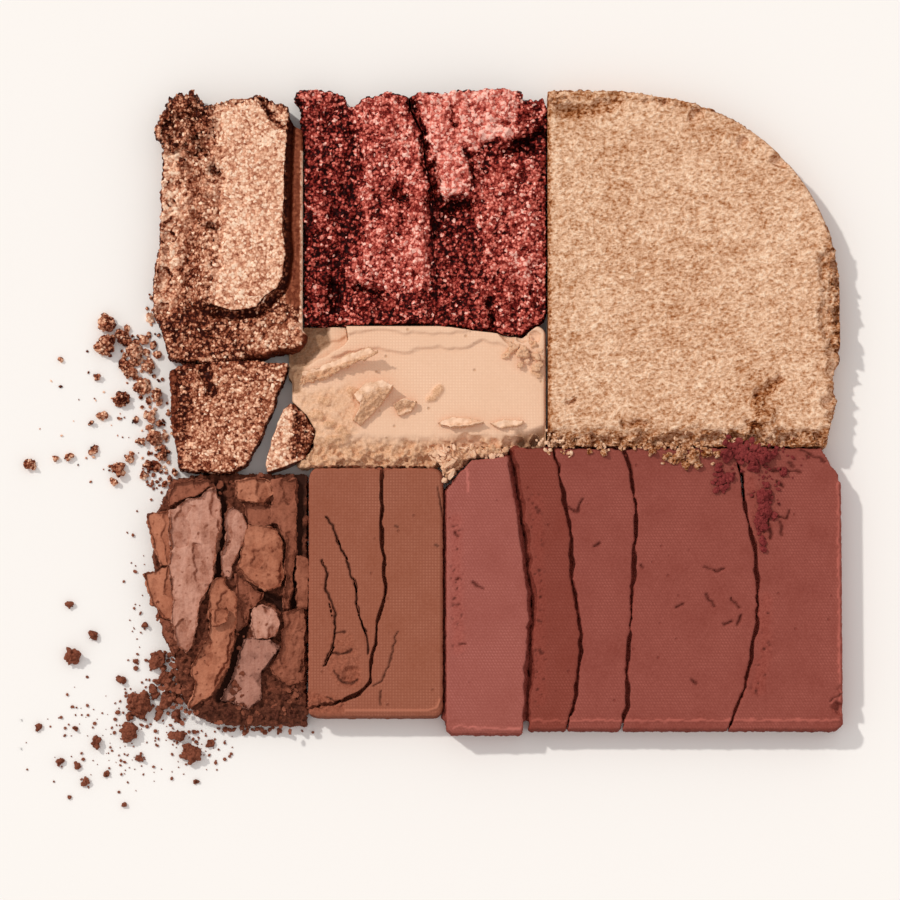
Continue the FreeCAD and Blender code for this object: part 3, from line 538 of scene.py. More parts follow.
def skin(piece):
    """Where the vertices of a piece are, in millimetres, and where they face."""
    points = np.empty(len(piece.data.vertices) * 3)
    piece.data.vertices.foreach_get("co", points)
    facing = np.empty_like(points)
    piece.data.vertices.foreach_get("normal", facing)
    return points.reshape(-1, 3) / MM, facing.reshape(-1, 3)


def wander(points, size, reach):
    """The points moved a little by noise, so that an outline drawn on them comes out ragged."""
    sway = [mathutils.noise.noise_vector(place) for place in (points / size).tolist()]
    return points + reach * np.array(sway)


def patchy(points, size):
    """Slow noise over the points, about -1 to 1."""
    return np.array([mathutils.noise.noise(place) for place in (points / size).tolist()]) * 1.6


def unit(values):
    return np.clip(values, 0, 1)


def fade(value, low, high):
    """0 at low, 1 at high, and a smooth step between."""
    share = unit((value - low) / (high - low))
    return share * share * (3 - 2 * share)


def mix(first, second, share):
    """The first value, giving way to the second as the share grows from 0 to 1."""
    return first * (1 - share) + second * share


def distance(points, path):
    """How far each point is from a line through the places of a path, seen from above."""
    nearest = np.full(len(points), 1e9)
    for start, end in zip(path[:-1], path[1:]):
        run = end - start
        share = unit(((points[:, :2] - start) @ run) / max(run @ run, 1e-9))
        gap = points[:, :2] - start - share[:, None] * run
        nearest = np.minimum(nearest, np.hypot(gap[:, 0], gap[:, 1]))
    return nearest


def along(points, core, edge, *paths):
    """1 within core of any of the paths, fading to 0 at edge."""
    nearest = np.min([distance(points, spots(*path)) for path in paths], axis=0)
    return 1 - fade(nearest, core, edge)


def within(points, soft, *outline):
    """1 inside an outline, 0 outside it, with a soft edge."""
    closed = spots(*outline, outline[0])
    inside = np.zeros(len(points), dtype=bool)
    for (x0, y0), (x1, y1) in zip(closed[:-1], closed[1:]):
        spans = (y0 > points[:, 1]) != (y1 > points[:, 1])
        reach = (x1 - x0) * (points[:, 1] - y0) / (y1 - y0 if y1 != y0 else 1e-9) + x0
        inside ^= spans & (points[:, 0] < reach)
    signed = np.where(inside, 1, -1) * distance(points, closed)
    return fade(signed, -soft / 2, soft / 2)


def top_of(facing):
    return fade(facing[:, 2], 0.35, 0.75)


def wall_of(facing):
    return np.where(facing[:, 2] > -0.6, 1 - fade(facing[:, 2], 0.4, 0.8), 0)


def begin(node, voxel):
    """A fresh copy with its points, and the weights of its top and of its walls."""
    piece = powder_copy(node, voxel)
    points, facing = skin(piece)
    return piece, points, top_of(facing), wall_of(facing)


print("places: 0.1 mm a step on the picture")

# %% Push, soften and paint
WEIGHT_STEPS = 50


def work(piece, weights, kind, **settings):
    """Applies one modifier to a piece, held back by weights from 0 to 1."""
    group = piece.vertex_groups.new(name="work")
    steps = np.rint(unit(weights) * WEIGHT_STEPS).astype(int)
    for step in range(1, WEIGHT_STEPS + 1):
        chosen = np.nonzero(steps == step)[0]
        if len(chosen):
            group.add(chosen.tolist(), step / WEIGHT_STEPS, "REPLACE")
    modifier = piece.modifiers.new("work", kind)
    modifier.vertex_group = group.name
    for label, value in settings.items():
        setattr(modifier, label, value)
    pick(piece)
    bpy.ops.object.modifier_apply(modifier=modifier.name)
    piece.vertex_groups.remove(piece.vertex_groups["work"])


def push(piece, weights, height, texture=None, direction="Z"):
    """Moves the skin by height in millimetres where the weights say, up or along its normals."""
    settings = {"direction": direction, "strength": height * MM, "mid_level": 0.0}
    if texture:
        settings.update(mid_level=0.5, texture=texture, texture_coords="LOCAL")
    work(piece, weights, "DISPLACE", **settings)


def push_back(piece, near, reach):
    """Moves the far walls of a piece away from the camera, to narrow a gap behind it."""
    push(piece, fade(skin(piece)[1][:, 1], 0.3, 0.7) * near, reach, None, "Y")


def soften(piece, weights, rounds):
    work(piece, weights, "SMOOTH", factor=0.5, iterations=rounds)


def lumps(name, size):
    texture = bpy.data.textures.new(name, "CLOUDS")
    texture.noise_scale = size * MM
    texture.noise_depth = 2
    return texture


broad = lumps("broad_lumps", 1.6)
coarse = lumps("coarse_lumps", 0.9)
middling = lumps("middling_lumps", 0.45)
small = lumps("small_lumps", 0.24)


def roughen(piece, weights, heavy, medium, light_touch):
    """Three sizes of lump, each with its own height in millimetres."""
    for texture, height in ((coarse, heavy), (middling, medium), (small, light_touch)):
        if height:
            push(piece, weights, height, texture, "NORMAL")


def lift(piece, before):
    """How far each place has risen since it was measured, in millimetres."""
    return np.clip(skin(piece)[0][:, 2] - before[:, 2], -0.5, 0.5)


def paint(piece, attribute, values):
    layer = piece.data.attributes.new(attribute, "FLOAT", "POINT")
    layer.data.foreach_set("value", np.asarray(values, dtype=np.float32))


print("modifiers and paint ready")

# %% Dress a piece
def settle(piece, finish):
    """Keeps a piece inside the box of the solids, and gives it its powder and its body."""
    low, high = (np.array(corner) / MM for corner in cad_box)
    piece.data.vertices.foreach_set("co", (np.clip(skin(piece)[0], low, high) * MM).ravel())
    piece.data.update()
    piece.data.materials.append(finishes[finish])
    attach(piece, "root")


def dress(piece, node, finish=None):
    """Finishes the copy of a solid, which it stands in for."""
    cake = node.split("_")[0]
    settle(piece, finish or cake)
    pick(piece)
    bpy.ops.object.shade_smooth()
    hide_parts(node)
    print(node, len(piece.data.polygons), "faces")


print("ready to dress", len(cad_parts), "pieces")

# %% [markdown]
# ## Copper cake
# The upper piece lost most of its pressed face. What is left of it, the pale skin, stands proud of
# the layer below and throws a dark line to its right and below; there the layer is sunk into a moat
# and painted with that shadow. Around it lies torn powder: a crumbled corner, a rough left side that
# runs up to the skin, and a smooth brown ledge on the right, painted in shade, with one bright edge
# that is a painted highlight. The strip on the left that faces the lamp, the knobs and the raised
# places are painted lighter as light, and the valley, the hollow, the pits and the sunk places darker
# as shade. The foot of a wall is swollen where loose powder fills a gap.

# %% Copper base
def close_up(piece, near, reach):
    """Swells the lower part of the walls near a crack, so that powder and not the table lies in it."""
    points, facing = skin(piece)
    height = points[:, 2].max()
    foot = 1 - fade(points[:, 2], 0.4 * height, 0.95 * height)
    push(piece, near * wall_of(facing) * foot, reach, None, "NORMAL")


piece, points, top, wall = begin("copper_base", 0.125)
ragged = wander(wander(points, 1.2, 0.5), 0.4, 0.2)
corner = within(ragged, 0.8, (150, 85), (208, 85), (212, 116), (204, 134), (186, 140), (166, 146), (150, 150))
band = within(
    ragged, 0.8, (150, 318), (206, 306), (232, 312), (262, 302), (282, 292), (306, 310), (306, 366),
    (150, 366),
)
shadow_moat = along(
    points, 0.2, 0.7, (
        (289, 108), (287, 150), (286, 225), (288, 250), (285, 276), (280, 289), (268, 301), (258, 310),
        (233, 314), (206, 308),
    ),
)
shaded_ledge = within(points, 0.5, (284, 100), (306, 100), (306, 312), (286, 300))
rim = within(points, 0.2, (299.5, 146), (304, 146), (304, 334), (299.5, 330))
lit_strip = along(ragged, 0.4, 1.3, ((168, 150), (170, 200), (168, 250), (163, 300)))
shaded_valley = along(ragged, 0.3, 1.3, ((198, 138), (194, 170), (196, 215), (191, 260), (194, 300)))
seam = along(points, 0.6, 1.6, ((214, 108), (212, 160), (208, 215), (211, 260), (206, 300)))
pits = along(ragged, 0.1, 0.5, ((196, 148), (205, 151)), ((209, 167), (218, 170)), ((207, 226), (214, 227)))
knobs = along(ragged, 0.4, 0.9, ((203, 183), (210, 186)), ((198, 160), (204, 162)), ((190, 196), (193, 201)))
shaded_hollow = within(ragged, 1.2, (168, 290), (206, 300), (208, 334), (170, 336))
bright_foot = within(ragged, 1.2, (240, 322), (304, 312), (304, 352), (246, 352))
push_back(piece, fade(points[:, 1], 32, 33.5), 0.5)
push(piece, top * seam * (1 - pits), 0.8)
push(piece, top * shaded_valley * (1 - seam), -0.45)
push(piece, top * unit(knobs + corner), 0.5)
push(piece, top * shadow_moat * (1 - corner), -0.5)
before = skin(piece)[0]
left_side = fade(-points[:, 0], 21, 22.5)
loose = unit(left_side + corner + band) * (1 - 0.4 * shadow_moat)
roughen(piece, top * loose, 0.45, 0.5, 0.18)
roughen(piece, corner, 0.7, 0.6, 0.2)
roughen(piece, wall * (1 - shaded_ledge) * fade(-points[:, 0], 13.2, 14.0), 0.35, 0.45, 0.18)
# Painted light and shade: the strip that faces the lamp, the knobs and raised places are lighter, the valley,
# the hollow, the pits and sunk places darker.
light = 0.68 + 0.18 * lit_strip - 0.14 * shaded_valley - 0.26 * shaded_hollow - 0.16 * pits + 0.14 * knobs
light = mix(light, 0.45, corner)
light = mix(light, 0.42 - 0.16 * shaded_hollow + 0.22 * bright_foot, band)
light = light + 0.5 * lift(piece, before) * loose + 0.07 * patchy(points, 1.3)
# Painted shade on the ledge, and the skin's painted shadow in the moat.
light = mix(light, 0.3, shaded_ledge)
light = mix(light, 0.1, shadow_moat)
light = mix(0.22, light, top)
# The rim is a painted highlight on the edge that catches the lamp.
paint(piece, "light", mix(light, 0.92, rim))
paint(piece, "smooth", unit(shaded_ledge - rim) * top + 0.9 * (1 - top) * fade(points[:, 0], -20, -17))
close_up(piece, within(points, 0.6, (200, 336), (306, 330), (306, 370), (200, 370)), 0.6)
dress(piece, "copper_base")

# %% Copper pressed skin
piece, points, top, wall = begin("copper_pressed_skin", 0.11)
ragged = wander(wander(points, 0.8, 0.5), 0.4, 0.2)
clump = within(ragged, 0.6, (255, 84), (294, 84), (291, 126), (268, 116), (257, 104))
cracks = along(ragged, 0.1, 0.4, ((257, 96), (266, 106), (270, 114), (282, 124)))
torn_left = along(ragged, 0.3, 1.2, ((212, 106), (211, 165), (213, 190), (211, 250), (206, 300)))
bites = along(
    ragged, 0.15, 0.55, ((212, 167), (219, 171)), ((210, 226), (216, 228)), ((214, 108), (220, 104)),
)
push_back(piece, fade(points[:, 1], 31, 33), 0.6)
before = skin(piece)[0]
push(piece, top, 0.1, broad)
push(piece, top * torn_left, -0.35)
push(piece, top * unit(bites + cracks), -0.45)
roughen(piece, top, 0.1, 0.14, 0.08)
roughen(piece, wall, 0.25, 0.3, 0.12)
roughen(piece, unit(torn_left + clump), 0.35, 0.4, 0.15)
# Painted shade in the bites and cracks; below, raised places are painted lighter as light.
light = 0.82 - 0.12 * torn_left - 0.14 * clump - 0.3 * unit(0.5 * bites + cracks)
light = light + 0.3 * lift(piece, before) * (1 - torn_left)
paint(piece, "light", mix(0.14, light, top))
dress(piece, "copper_pressed_skin")

# %% Copper lower piece and shard
piece, points, top, wall = begin("copper_lower_piece", 0.12)
ragged = wander(wander(points, 0.8, 0.5), 0.4, 0.2)
dark_left = within(ragged, 0.8, (164, 356), (190, 362), (192, 400), (188, 440), (182, 470), (164, 474))
smooth_left = within(points, 0.4, (164, 356), (178, 362), (178, 470), (164, 474))
dark_dent = along(ragged, 0.3, 0.8, ((206, 368), (209, 392)))
shaded = along(ragged, 0.3, 0.9, ((190, 364), (250, 358), (280, 358)))
before = points
push(piece, top * dark_dent, -0.45)
roughen(piece, top, 0.14, 0.26, 0.12)
roughen(piece, wall, 0.25, 0.25, 0.12)
roughen(piece, top * dark_left, 0.35, 0.35, 0.15)
# Painted shade in the dent and along the top edge below the base; below, raised places are painted lighter as
# light.
light = 0.61 - 0.26 * dark_left - 0.1 * smooth_left - 0.3 * dark_dent - 0.2 * shaded
light = light + 0.4 * lift(piece, before)
paint(piece, "light", mix(0.24, light, top))
paint(piece, "smooth", 0.7 * smooth_left)
dress(piece, "copper_lower_piece")

piece, points, top, wall = begin("copper_shard", 0.1)
crumbly = within(wander(points, 0.7, 0.4), 0.6, (292, 398), (318, 406), (320, 452), (289, 460))
before = points
roughen(piece, top, 0.12, 0.2, 0.1)
roughen(piece, crumbly, 0.4, 0.5, 0.25)
# Raised places are painted lighter as light.
light = 0.82 - 0.42 * crumbly + 0.4 * lift(piece, before)
paint(piece, "light", mix(0.3, light, top))
paint(piece, "smooth", 0.8 * (1 - top))
dress(piece, "copper_shard")

# %% [markdown]
# ## Burgundy cake
# This shade was scraped from top to bottom: a dark trough on the left, a bright ridge beside it, a
# crack through the middle, and one plate of the pressed face left at the top. The solids have these
# forms; one function adds the holes, cuts and clods and says how bright each place is, so that both
# blocks agree where they meet. That brightness holds painted shade: the trough is darker torn powder
# that also lies in the copper cake's shadow, the hollow, holes, cuts and gap are painted darker, and
# so are the side in the ridge's shadow and the shade on the ridge; raised places are painted lighter.

# %% Burgundy relief
def burgundy_relief(points):
    """How far the scraped powder is raised, in millimetres, and how bright it is, place by place."""
    ragged = wander(wander(points, 1.4, 0.7), 0.5, 0.25)
    trough = within(ragged, 0.7, (290, 100), (346, 100), (360, 140), (361, 250), (340, 340), (290, 340))
    shaded_hollow = within(ragged, 0.8, (296, 222), (334, 216), (346, 250), (338, 326), (296, 326))
    ridge = within(
        ragged, 0.8, (358, 80), (408, 80), (424, 130), (432, 190), (430, 250), (424, 282), (404, 296),
        (364, 270),
    )
    ridge_shade = along(
        ragged, 0.3, 1.1, ((376, 130), (380, 170), (376, 215)), ((398, 184), (396, 215), (388, 240)),
    )
    plate = within(
        ragged, 0.4, (418, 80), (516, 80), (520, 118), (512, 132), (484, 136), (468, 150), (474, 172),
        (467, 194), (444, 196), (434, 172), (425, 130),
    )
    shade_side = within(
        ragged, 1.5, (433, 198), (474, 206), (484, 260), (474, 340), (360, 340), (362, 296), (424, 290),
    )
    holes = along(
        ragged, 0.3, 0.8, ((446, 202), (468, 201)), ((430, 162), (437, 190), (434, 232)),
        ((360, 287), (378, 293)), ((332, 282), (336, 306)), ((397, 188), (404, 200)),
    )
    cuts = along(
        ragged, 0.12, 0.5, ((500, 116), (516, 119)), ((512, 138), (528, 133), (545, 128)),
        ((505, 148), (532, 146)), ((493, 300), (488, 334)), ((467, 146), (469, 158), (474, 180)),
        ((447, 104), (456, 120)), ((409, 95), (419, 119), (423, 134), (425, 160)),
    )
    clods = along(
        ragged, 0.4, 1.1, ((346, 260), (356, 274)), ((414, 252), (424, 276)), ((310, 284), (320, 304)),
        ((324, 222), (328, 238)), ((512, 256), (524, 270)), ((486, 130), (516, 125)),
        ((318, 202), (322, 208)),
    )
    crust = within(ragged, 0.8, (286, 78), (332, 78), (336, 100), (306, 116), (286, 118))
    gap = within(ragged, 0.6, (518, 128), (548, 120), (548, 152), (504, 152))
    pale_side = within(ragged, 2.0, (478, 158), (544, 156), (544, 290), (506, 300), (488, 240))
    streaks = patchy(points * (1, 0.3, 1), 0.9)
    height = 0.15 * streaks - 0.7 * holes - 0.6 * cuts + 0.4 * clods - 0.3 * gap + 0.2 * crust
    # Painted shade: the trough (also darker torn powder), hollow, ridge shade, shade side, holes, cuts and
    # gap are darker; the clods are lighter.
    light = 0.56 - 0.17 * trough - 0.08 * shaded_hollow + 0.15 * ridge - 0.14 * ridge_shade + 0.31 * plate
    light = light - 0.14 * shade_side - 0.3 * holes - 0.32 * cuts + 0.22 * clods + 0.08 * pale_side
    light = light + 0.06 * crust - 0.16 * gap + 0.07 * streaks + 0.06 * patchy(points, 0.6)
    return height, light


CRACK_LINE = ((408, 70), (410, 105), (423, 129), (425, 160), (432, 191), (430, 217), (435, 270), (440, 341))
for node in ("burgundy_left_block", "burgundy_right_block"):
    piece, points, top, wall = begin(node, 0.126)
    crack = along(points, 0.5, 1.0, CRACK_LINE)
    push(piece, crack * wall * (0.4 + 0.6 * fade(-points[:, 1], -24, -18)), 0.22, None, "NORMAL")
    close_up(piece, crack, 0.25)
    push(piece, wall * within(points, 1.0, (290, 70), (306, 70), (306, 128), (290, 128)), -0.5, None, "X")
    height, light = burgundy_relief(points)
    push(piece, top * unit(height), 1.0)
    push(piece, top * unit(-height), -1.0)
    before = skin(piece)[0]
    roughen(piece, top, 0.6, 0.55, 0.2)
    roughen(piece, wall * (1 - crack), 0.4, 0.45, 0.2)
    # Raised places are painted lighter and sunk ones darker, as light and shade.
    light = light + 0.45 * lift(piece, before)
    paint(piece, "light", mix(0.14, light, top))
    dress(piece, node)

# %% [markdown]
# ## Champagne cake
# The largest cake kept its pressed face, finely crumpled like foil. Its round edge is chipped and
# shows warmer powder, the front edge crumbles into a slope, and a scoop and a dent break the face.
# The scoop, the dent and the nicks are painted darker as shade, and raised places lighter as light.

# %% Champagne cake
piece, points, top, wall = begin("champagne_cake", 0.175)
ragged = wander(wander(points, 0.9, 0.5), 0.4, 0.2)
rim = along(
    ragged, 0.15, 0.8, (
        (556, 88), (620, 90), (664, 94), (721, 104), (754, 122), (783, 138), (804, 163), (822, 190),
        (832, 214), (836, 256),
    ),
    ((840, 300), (842, 364), (836, 376), (837, 398), (832, 440)),
)
chips = within(ragged, 0.5, (819, 252), (842, 246), (844, 346), (828, 346), (820, 320), (824, 288))
front = fade(-ragged[:, 1], -1.6, -0.4)
scoop = along(ragged, 0.3, 1.0, ((564, 108), (590, 106), (618, 98)))
dent = along(ragged, 0.25, 0.7, ((758, 396), (768, 388), (781, 380)))
slide = along(ragged, 0.4, 0.9, ((760, 404), (768, 410), (757, 426)))
nicks = along(ragged, 0.15, 0.5, ((624, 424), (645, 423)), ((750, 424), (762, 428)), ((568, 403), (574, 400)))
left_bevel = fade(-points[:, 0], -12.2, -11.8)
push_back(piece, fade(-points[:, 0], -23, -18), 0.4)
push(piece, top * front, -0.5)
push(piece, top * unit(scoop + dent + nicks), -0.5)
push(piece, top * chips, -0.5)
push(piece, top * slide, 0.25)
before = skin(piece)[0]
push(piece, top, 0.12, broad)
roughen(piece, top * (1 - left_bevel), 0.05, 0.1, 0.08)
edges = unit(front + rim + chips + slide)
roughen(piece, edges * unit(top + wall), 0.4, 0.5, 0.25)
# Painted shade in the scoop, the dent and the nicks; raised places, most on the edges, are painted lighter as
# light.
light = 0.68 - 0.14 * rim - 0.2 * front - 0.26 * scoop - 0.3 * dent - 0.2 * slide - 0.3 * nicks
light = light - 0.1 * chips - 0.3 * left_bevel + (0.35 + 0.5 * edges) * lift(piece, before)
paint(piece, "light", mix(0.36, light, top))
dress(piece, "champagne_cake")

# %% [markdown]
# ## Cream cake
# The cream face still shows the cloth print. A strip of an upper layer is left along its far edge
# and ends in waves, and the left end is covered with its own shavings. The front broke into a
# crumbly slope: it is smoothed first, so that the bites of the solid melt together, and roughened.
# The low terrace at the left end lies in the copper cake's shadow, and it and the deep pocket are
# painted with shade; raised places on the front and the bumps are painted lighter as light.

# %% Cream cake
piece, points, top, wall = begin("cream_cake", 0.118)
ragged = wander(points, 1.1, 0.4)
strip = within(
    ragged, 0.25, (322, 318), (560, 318), (556, 360), (530, 352), (504, 343), (482, 340), (458, 347),
    (430, 346), (404, 351), (372, 346), (330, 356),
)
upper_strip = within(
    ragged, 0.25, (322, 316), (476, 316), (470, 331), (430, 333), (404, 332), (372, 329), (350, 333),
    (322, 338),
)
terrace = within(
    points, 0.6, (280, 318), (326, 318), (330, 340), (314, 352), (304, 366), (300, 392), (280, 392),
)
corner = within(points, 0.6, (284, 326), (308, 326), (308, 378), (284, 378))
front = fade(-ragged[:, 1], -0.9, 0.9)
bumps = within(ragged, 1.0, (296, 392), (350, 384), (360, 400), (356, 432), (330, 444), (306, 440))
knobs = along(
    ragged, 0.2, 0.55, ((314, 414), (319, 416)), ((326, 424), (331, 425)), ((340, 430), (347, 434)),
    ((330, 440), (338, 441)), ((352, 392), (356, 391)), ((436, 392), (441, 389)), ((430, 397), (432, 397)),
    ((344, 434), (344, 438)), ((533, 372), (538, 374)), ((322, 400), (326, 402)),
)
pocket = within(ragged, 1.2, (520, 434), (548, 430), (548, 452), (516, 450))
push(piece, wall * corner, 0.4, None, "NORMAL")
push(piece, top * strip, 0.28)
push(piece, top * upper_strip, 0.24)
push(piece, top * terrace, -0.4)
push(piece, top * front, -0.6)
push(piece, top * pocket, -1.0)
soften(piece, front * unit(top + wall), 45)
before = skin(piece)[0]
push(piece, top * knobs, 0.3)
roughen(piece, top * bumps, 0.35, 0.28, 0.06)
roughen(piece, front * unit(top + wall), 0.8, 0.6, 0.14)
roughen(piece, top * terrace, 0.3, 0.2, 0.05)
# Raised places on the front and the bumps are painted less broken, so lighter, as light.
torn = front + pocket + 0.6 * bumps + knobs + terrace - 1.2 * lift(piece, before) * (front + bumps)
paint(piece, "broken", unit(torn) * top + (1 - top))
# Painted shade on the terrace, which lies in the copper cake's shadow, and in the deep pocket.
paint(piece, "crack", 0.55 * terrace + 0.45 * pocket)
dress(piece, "cream_cake")

# %% [markdown]
# The shavings on the cream cake stand up as small wedges: the side towards the lamp is bright, and
# the side behind it falls away and is dark. The sides behind and the lower side of the curl are
# painted as broken powder, darker, as torn powder in shade. Each wedge is one crest line that is
# pushed up. The curl is a thin blade that bends up off the face and throws the longest shadow.

# %% Cream shavings
CREAM_SHAVINGS = {
    "cream_curl": (0.0, 0.2, 0.9, ((302, 376), (327, 368), (354, 356), (376, 351))),
    "cream_large_flake": (0.9, 0.4, 2.6, ((350, 408), (362, 394), (378, 384), (392, 385))),
    "cream_small_flake": (0.6, 0.5, 1.5, ((388, 404), (400, 397), (414, 396))),
    "cream_lower_shavings": (0.5, 0.6, 0.6, ((441, 430), (460, 428), (484, 425)), ((488, 439), (522, 433))),
    "cream_front_rubble": (0.3, 1.6, 1.6, ((446, 462), (452, 456), (470, 452), (508, 451))),
}
for node, (rise, grain, reach, *crests) in CREAM_SHAVINGS.items():
    piece = powder_copy(node, 0.075)
    points, facing = skin(piece)
    if rise:
        push(piece, top_of(facing) * along(points, 0.05, reach, *crests), rise)
    points, facing = skin(piece)
    # Painted shade: the sides that face away from the lamp are painted broken, which is darker.
    behind = fade(facing[:, 0] * 0.6 - facing[:, 1] * 0.8, 0.05, 0.4)
    edges = unit(behind + wall_of(facing)) if grain < 1 else np.ones(len(points))
    # The lower side of the curl is torn powder in shade, painted broken.
    if node == "cream_curl":
        across, down = (points[:, 0] + PICTURE_LEFT) * STEPS, (PICTURE_TOP - points[:, 1]) * STEPS
        edges = unit(edges + fade(down - 376 + 0.31 * (across - 300), -0.5, 2.5))
        roughen(piece, edges, 0.3, 0.4, 0.1)
    roughen(piece, edges, 0.3 * grain, 0.5 * grain, 0.2 * grain)
    roughen(piece, top_of(facing), 0.15, 0.16, 0.06)
    paint(piece, "broken", unit(edges + 0.25 + 0.5 * patchy(points, 0.5)))
    dress(piece, node, "cream_shaving")

# %% [markdown]
# ## Cocoa cake
# This cake split along its layers like slate. The flakes are smooth above and torn at the edges,
# and they differ in shade because some show the face and some the inside of the cake. Crumbs fill
# the space between them, so the layer below is raised to about half their height, except in the
# few open troughs. Each flake is widened a little and its outline bent, which narrows the gaps. Then
# it is made to lean: its height falls by some tenths of a millimetre one way. The sides of a flake
# that turn away from the lamp are painted as broken powder, in shade, and its low edges darker; the
# troughs, the sunk places and the front of the layer below are painted dark as shade.

# %% Cocoa flakes
COCOA_FLAKES = {
    "cocoa_left_flake": ("cocoa_pink", 0.35, (0.5, 0.2)), "cocoa_upper_flap": ("cocoa_tan", 0.2, (-0.4, 0.1)),
    "cocoa_lower_flap": ("cocoa_tan", 0.2, (-0.3, 0.3)), "cocoa_left_strip": ("cocoa", 0.3, (0.2, 0.2)),
    "cocoa_upper_chunk": ("cocoa", 0.5, (-0.2, -0.4)), "cocoa_ridge_chunk": ("cocoa_tan", 0.4, (0.3, -0.3)),
    "cocoa_upper_chip": ("cocoa", 0.4, (0.2, -0.5)), "cocoa_narrow_flake": ("cocoa_pink", 0.2, (0.4, 0.3)),
    "cocoa_middle_chunk": ("cocoa_tan", 0.6, (0.5, 0.3)), "cocoa_inner_chunk": ("cocoa", 0.4, (0.5, 0.2)),
    "cocoa_right_strip": ("cocoa", 0.25, (0.2, 0.2)), "cocoa_thin_strip": ("cocoa", 0.2, (0.1, 0.2)),
    "cocoa_tan_flake": ("cocoa_tan", 0.25, (0.4, 0.4)), "cocoa_square_chip": ("cocoa_tan", 0.2, (0.1, 0.1)),
    "cocoa_round_chip": ("cocoa_pink", 0.3, (0.3, 0.2)),
    "cocoa_lower_flake": ("cocoa_grey", 0.3, (-0.4, 0.2)), "cocoa_right_column": ("cocoa", 0.5, (0.3, 0.3)),
}
FLAKE_GROWTH = 0.22
for node, (finish, swell, (fall_right, fall_front)) in COCOA_FLAKES.items():
    piece, points, top, wall = begin(node, 0.085)
    low, high = points.min(axis=0), points.max(axis=0)
    grown = low + (points - low) * (1 + 2 * FLAKE_GROWTH / (high - low)) - FLAKE_GROWTH
    grown = wander(wander(grown, 1.3, 0.3), 0.4, 0.1)
    piece.data.vertices.foreach_set("co", (np.column_stack((grown[:, :2], points[:, 2])) * MM).ravel())
    across, down = (points[:, 0] - low[0]) / (high[0] - low[0]), (high[1] - points[:, 1]) / (high[1] - low[1])
    for share, fall in ((across, fall_right), (down, fall_front)):
        push(piece, top * (share if fall > 0 else 1 - share), -abs(fall))
    layers = fade(patchy(wander(points, 0.6, 0.2) * (1, 0.4, 0), 1.5), 0.2, 0.3)
    push(piece, top * layers, -0.22)
    push(piece, top, 0.5 * swell, broad)
    push(piece, top, 0.16, coarse)
    roughen(piece, top, 0.03, 0.06, 0.03)
    roughen(piece, wall, 0.35, 0.25, 0.08)
    points, facing = skin(piece)
    # Painted shade: the sides that turn away from the lamp are painted as broken powder, and below, the low
    # edges are painted dark.
    shaded_side = fade(facing[:, 0] * 0.7 - facing[:, 1] * 0.5, 0.05, 0.5)
    specks = fade(patchy(points, 0.35), 0.75, 1.0)
    edge = 1 - fade(facing[:, 2], 0.1, 0.5)
    mottled = 0.4 * fade(patchy(points, 1.1), 0.05, 0.5)
    paint(piece, "broken", unit(edge + 0.8 * shaded_side + specks + 0.3 * layers + mottled))
    paint(piece, "crack", 0.35 * fade(-points[:, 2], -2.1, -1.5) * edge)
    dress(piece, node, finish)

piece, points, top, wall = begin("cocoa_under_layer", 0.125)
push_back(piece, fade(points[:, 1], -6, -5), 0.6)
push(piece, top * within(points, 0.5, (292, 478), (309, 478), (309, 560), (292, 560)), 0.7)
ragged = wander(points, 0.8, 0.4)
troughs = along(
    ragged, 0.35, 0.8, ((219, 484), (222, 520), (219, 550), (216, 578)), ((300, 480), (299, 540), (297, 612)),
    ((245, 615), (241, 640), (233, 668), (222, 696)), ((262, 592), (285, 604)),
)
push(piece, top * (1 - troughs), 0.55)
before = skin(piece)[0]
roughen(piece, top * (1 - troughs), 0.7, 0.6, 0.2)
roughen(piece, wall, 0.4, 0.4, 0.2)
# Painted shade in the troughs, in the sunk places and towards the front of the layer, and a little on the
# walls.
sunk_shade = 0.3 - 0.8 * lift(piece, before) + 0.25 * fade(-points[:, 1], 25.5, 27)
paint(piece, "broken", np.ones(len(points)))
paint(piece, "crack", unit(0.6 * troughs + sunk_shade) * top + 0.2 * (1 - top))
dress(piece, "cocoa_under_layer", "cocoa")

# %% [markdown]
# ## Brown cake
# The brown cake kept its face and its print, but cracked from top to bottom, and hair cracks run
# through the left slab. A hair crack is about as narrow as the faces of the skin, so its line is
# painted as well as pressed in: a dark line of painted shade, as are the scars. The lips of the wide
# crack are worn back, and powder fills its foot. The walls that turn to the camera are painted in
# shade, and a pale line along the front burr is a painted highlight.

# %% Brown slabs
HAIR_CRACKS = (
    (
        (326, 517), (333, 526), (337, 540), (346, 558), (352, 577), (356, 586), (357, 604), (362, 626),
        (367, 633), (369, 654),
    ),
    ((322, 561), (328, 573), (325, 588), (330, 598), (335, 611), (336, 628), (333, 644), (324, 667)),
)
SCARS = (
    ((398, 632), (393, 651), (388, 668), (383, 681), (374, 687)),
    ((334, 672), (343, 682), (352, 685), (358, 680)), ((334, 654), (343, 655), (352, 650)),
    ((335, 634), (345, 632)), ((437, 487), (440, 500), (443, 516)), ((381, 691), (381, 705)),
    ((327, 698), (340, 702)),
)
BROWN_CRACK = (
    (384, 468), (382, 487), (383, 517), (381, 530), (383, 548), (384, 569), (387, 596), (382, 609),
    (376, 635), (371, 669), (370, 684), (361, 692), (345, 700), (318, 705),
)
BROWN_BURR = ((346, 711), (428, 711), (437, 708), (440, 700))


def open_lips(piece, near, reach):
    """Wears the upper edges of a crack back, here more and there less."""
    points, facing = skin(piece)
    height = points[:, 2].max()
    lip = fade(points[:, 2], 0.5 * height, 0.95 * height) * wall_of(facing)
    push(piece, near * lip * unit(0.3 + 1.6 * patchy(points * (0.3, 1, 0), 2.2)), -reach, None, "NORMAL")


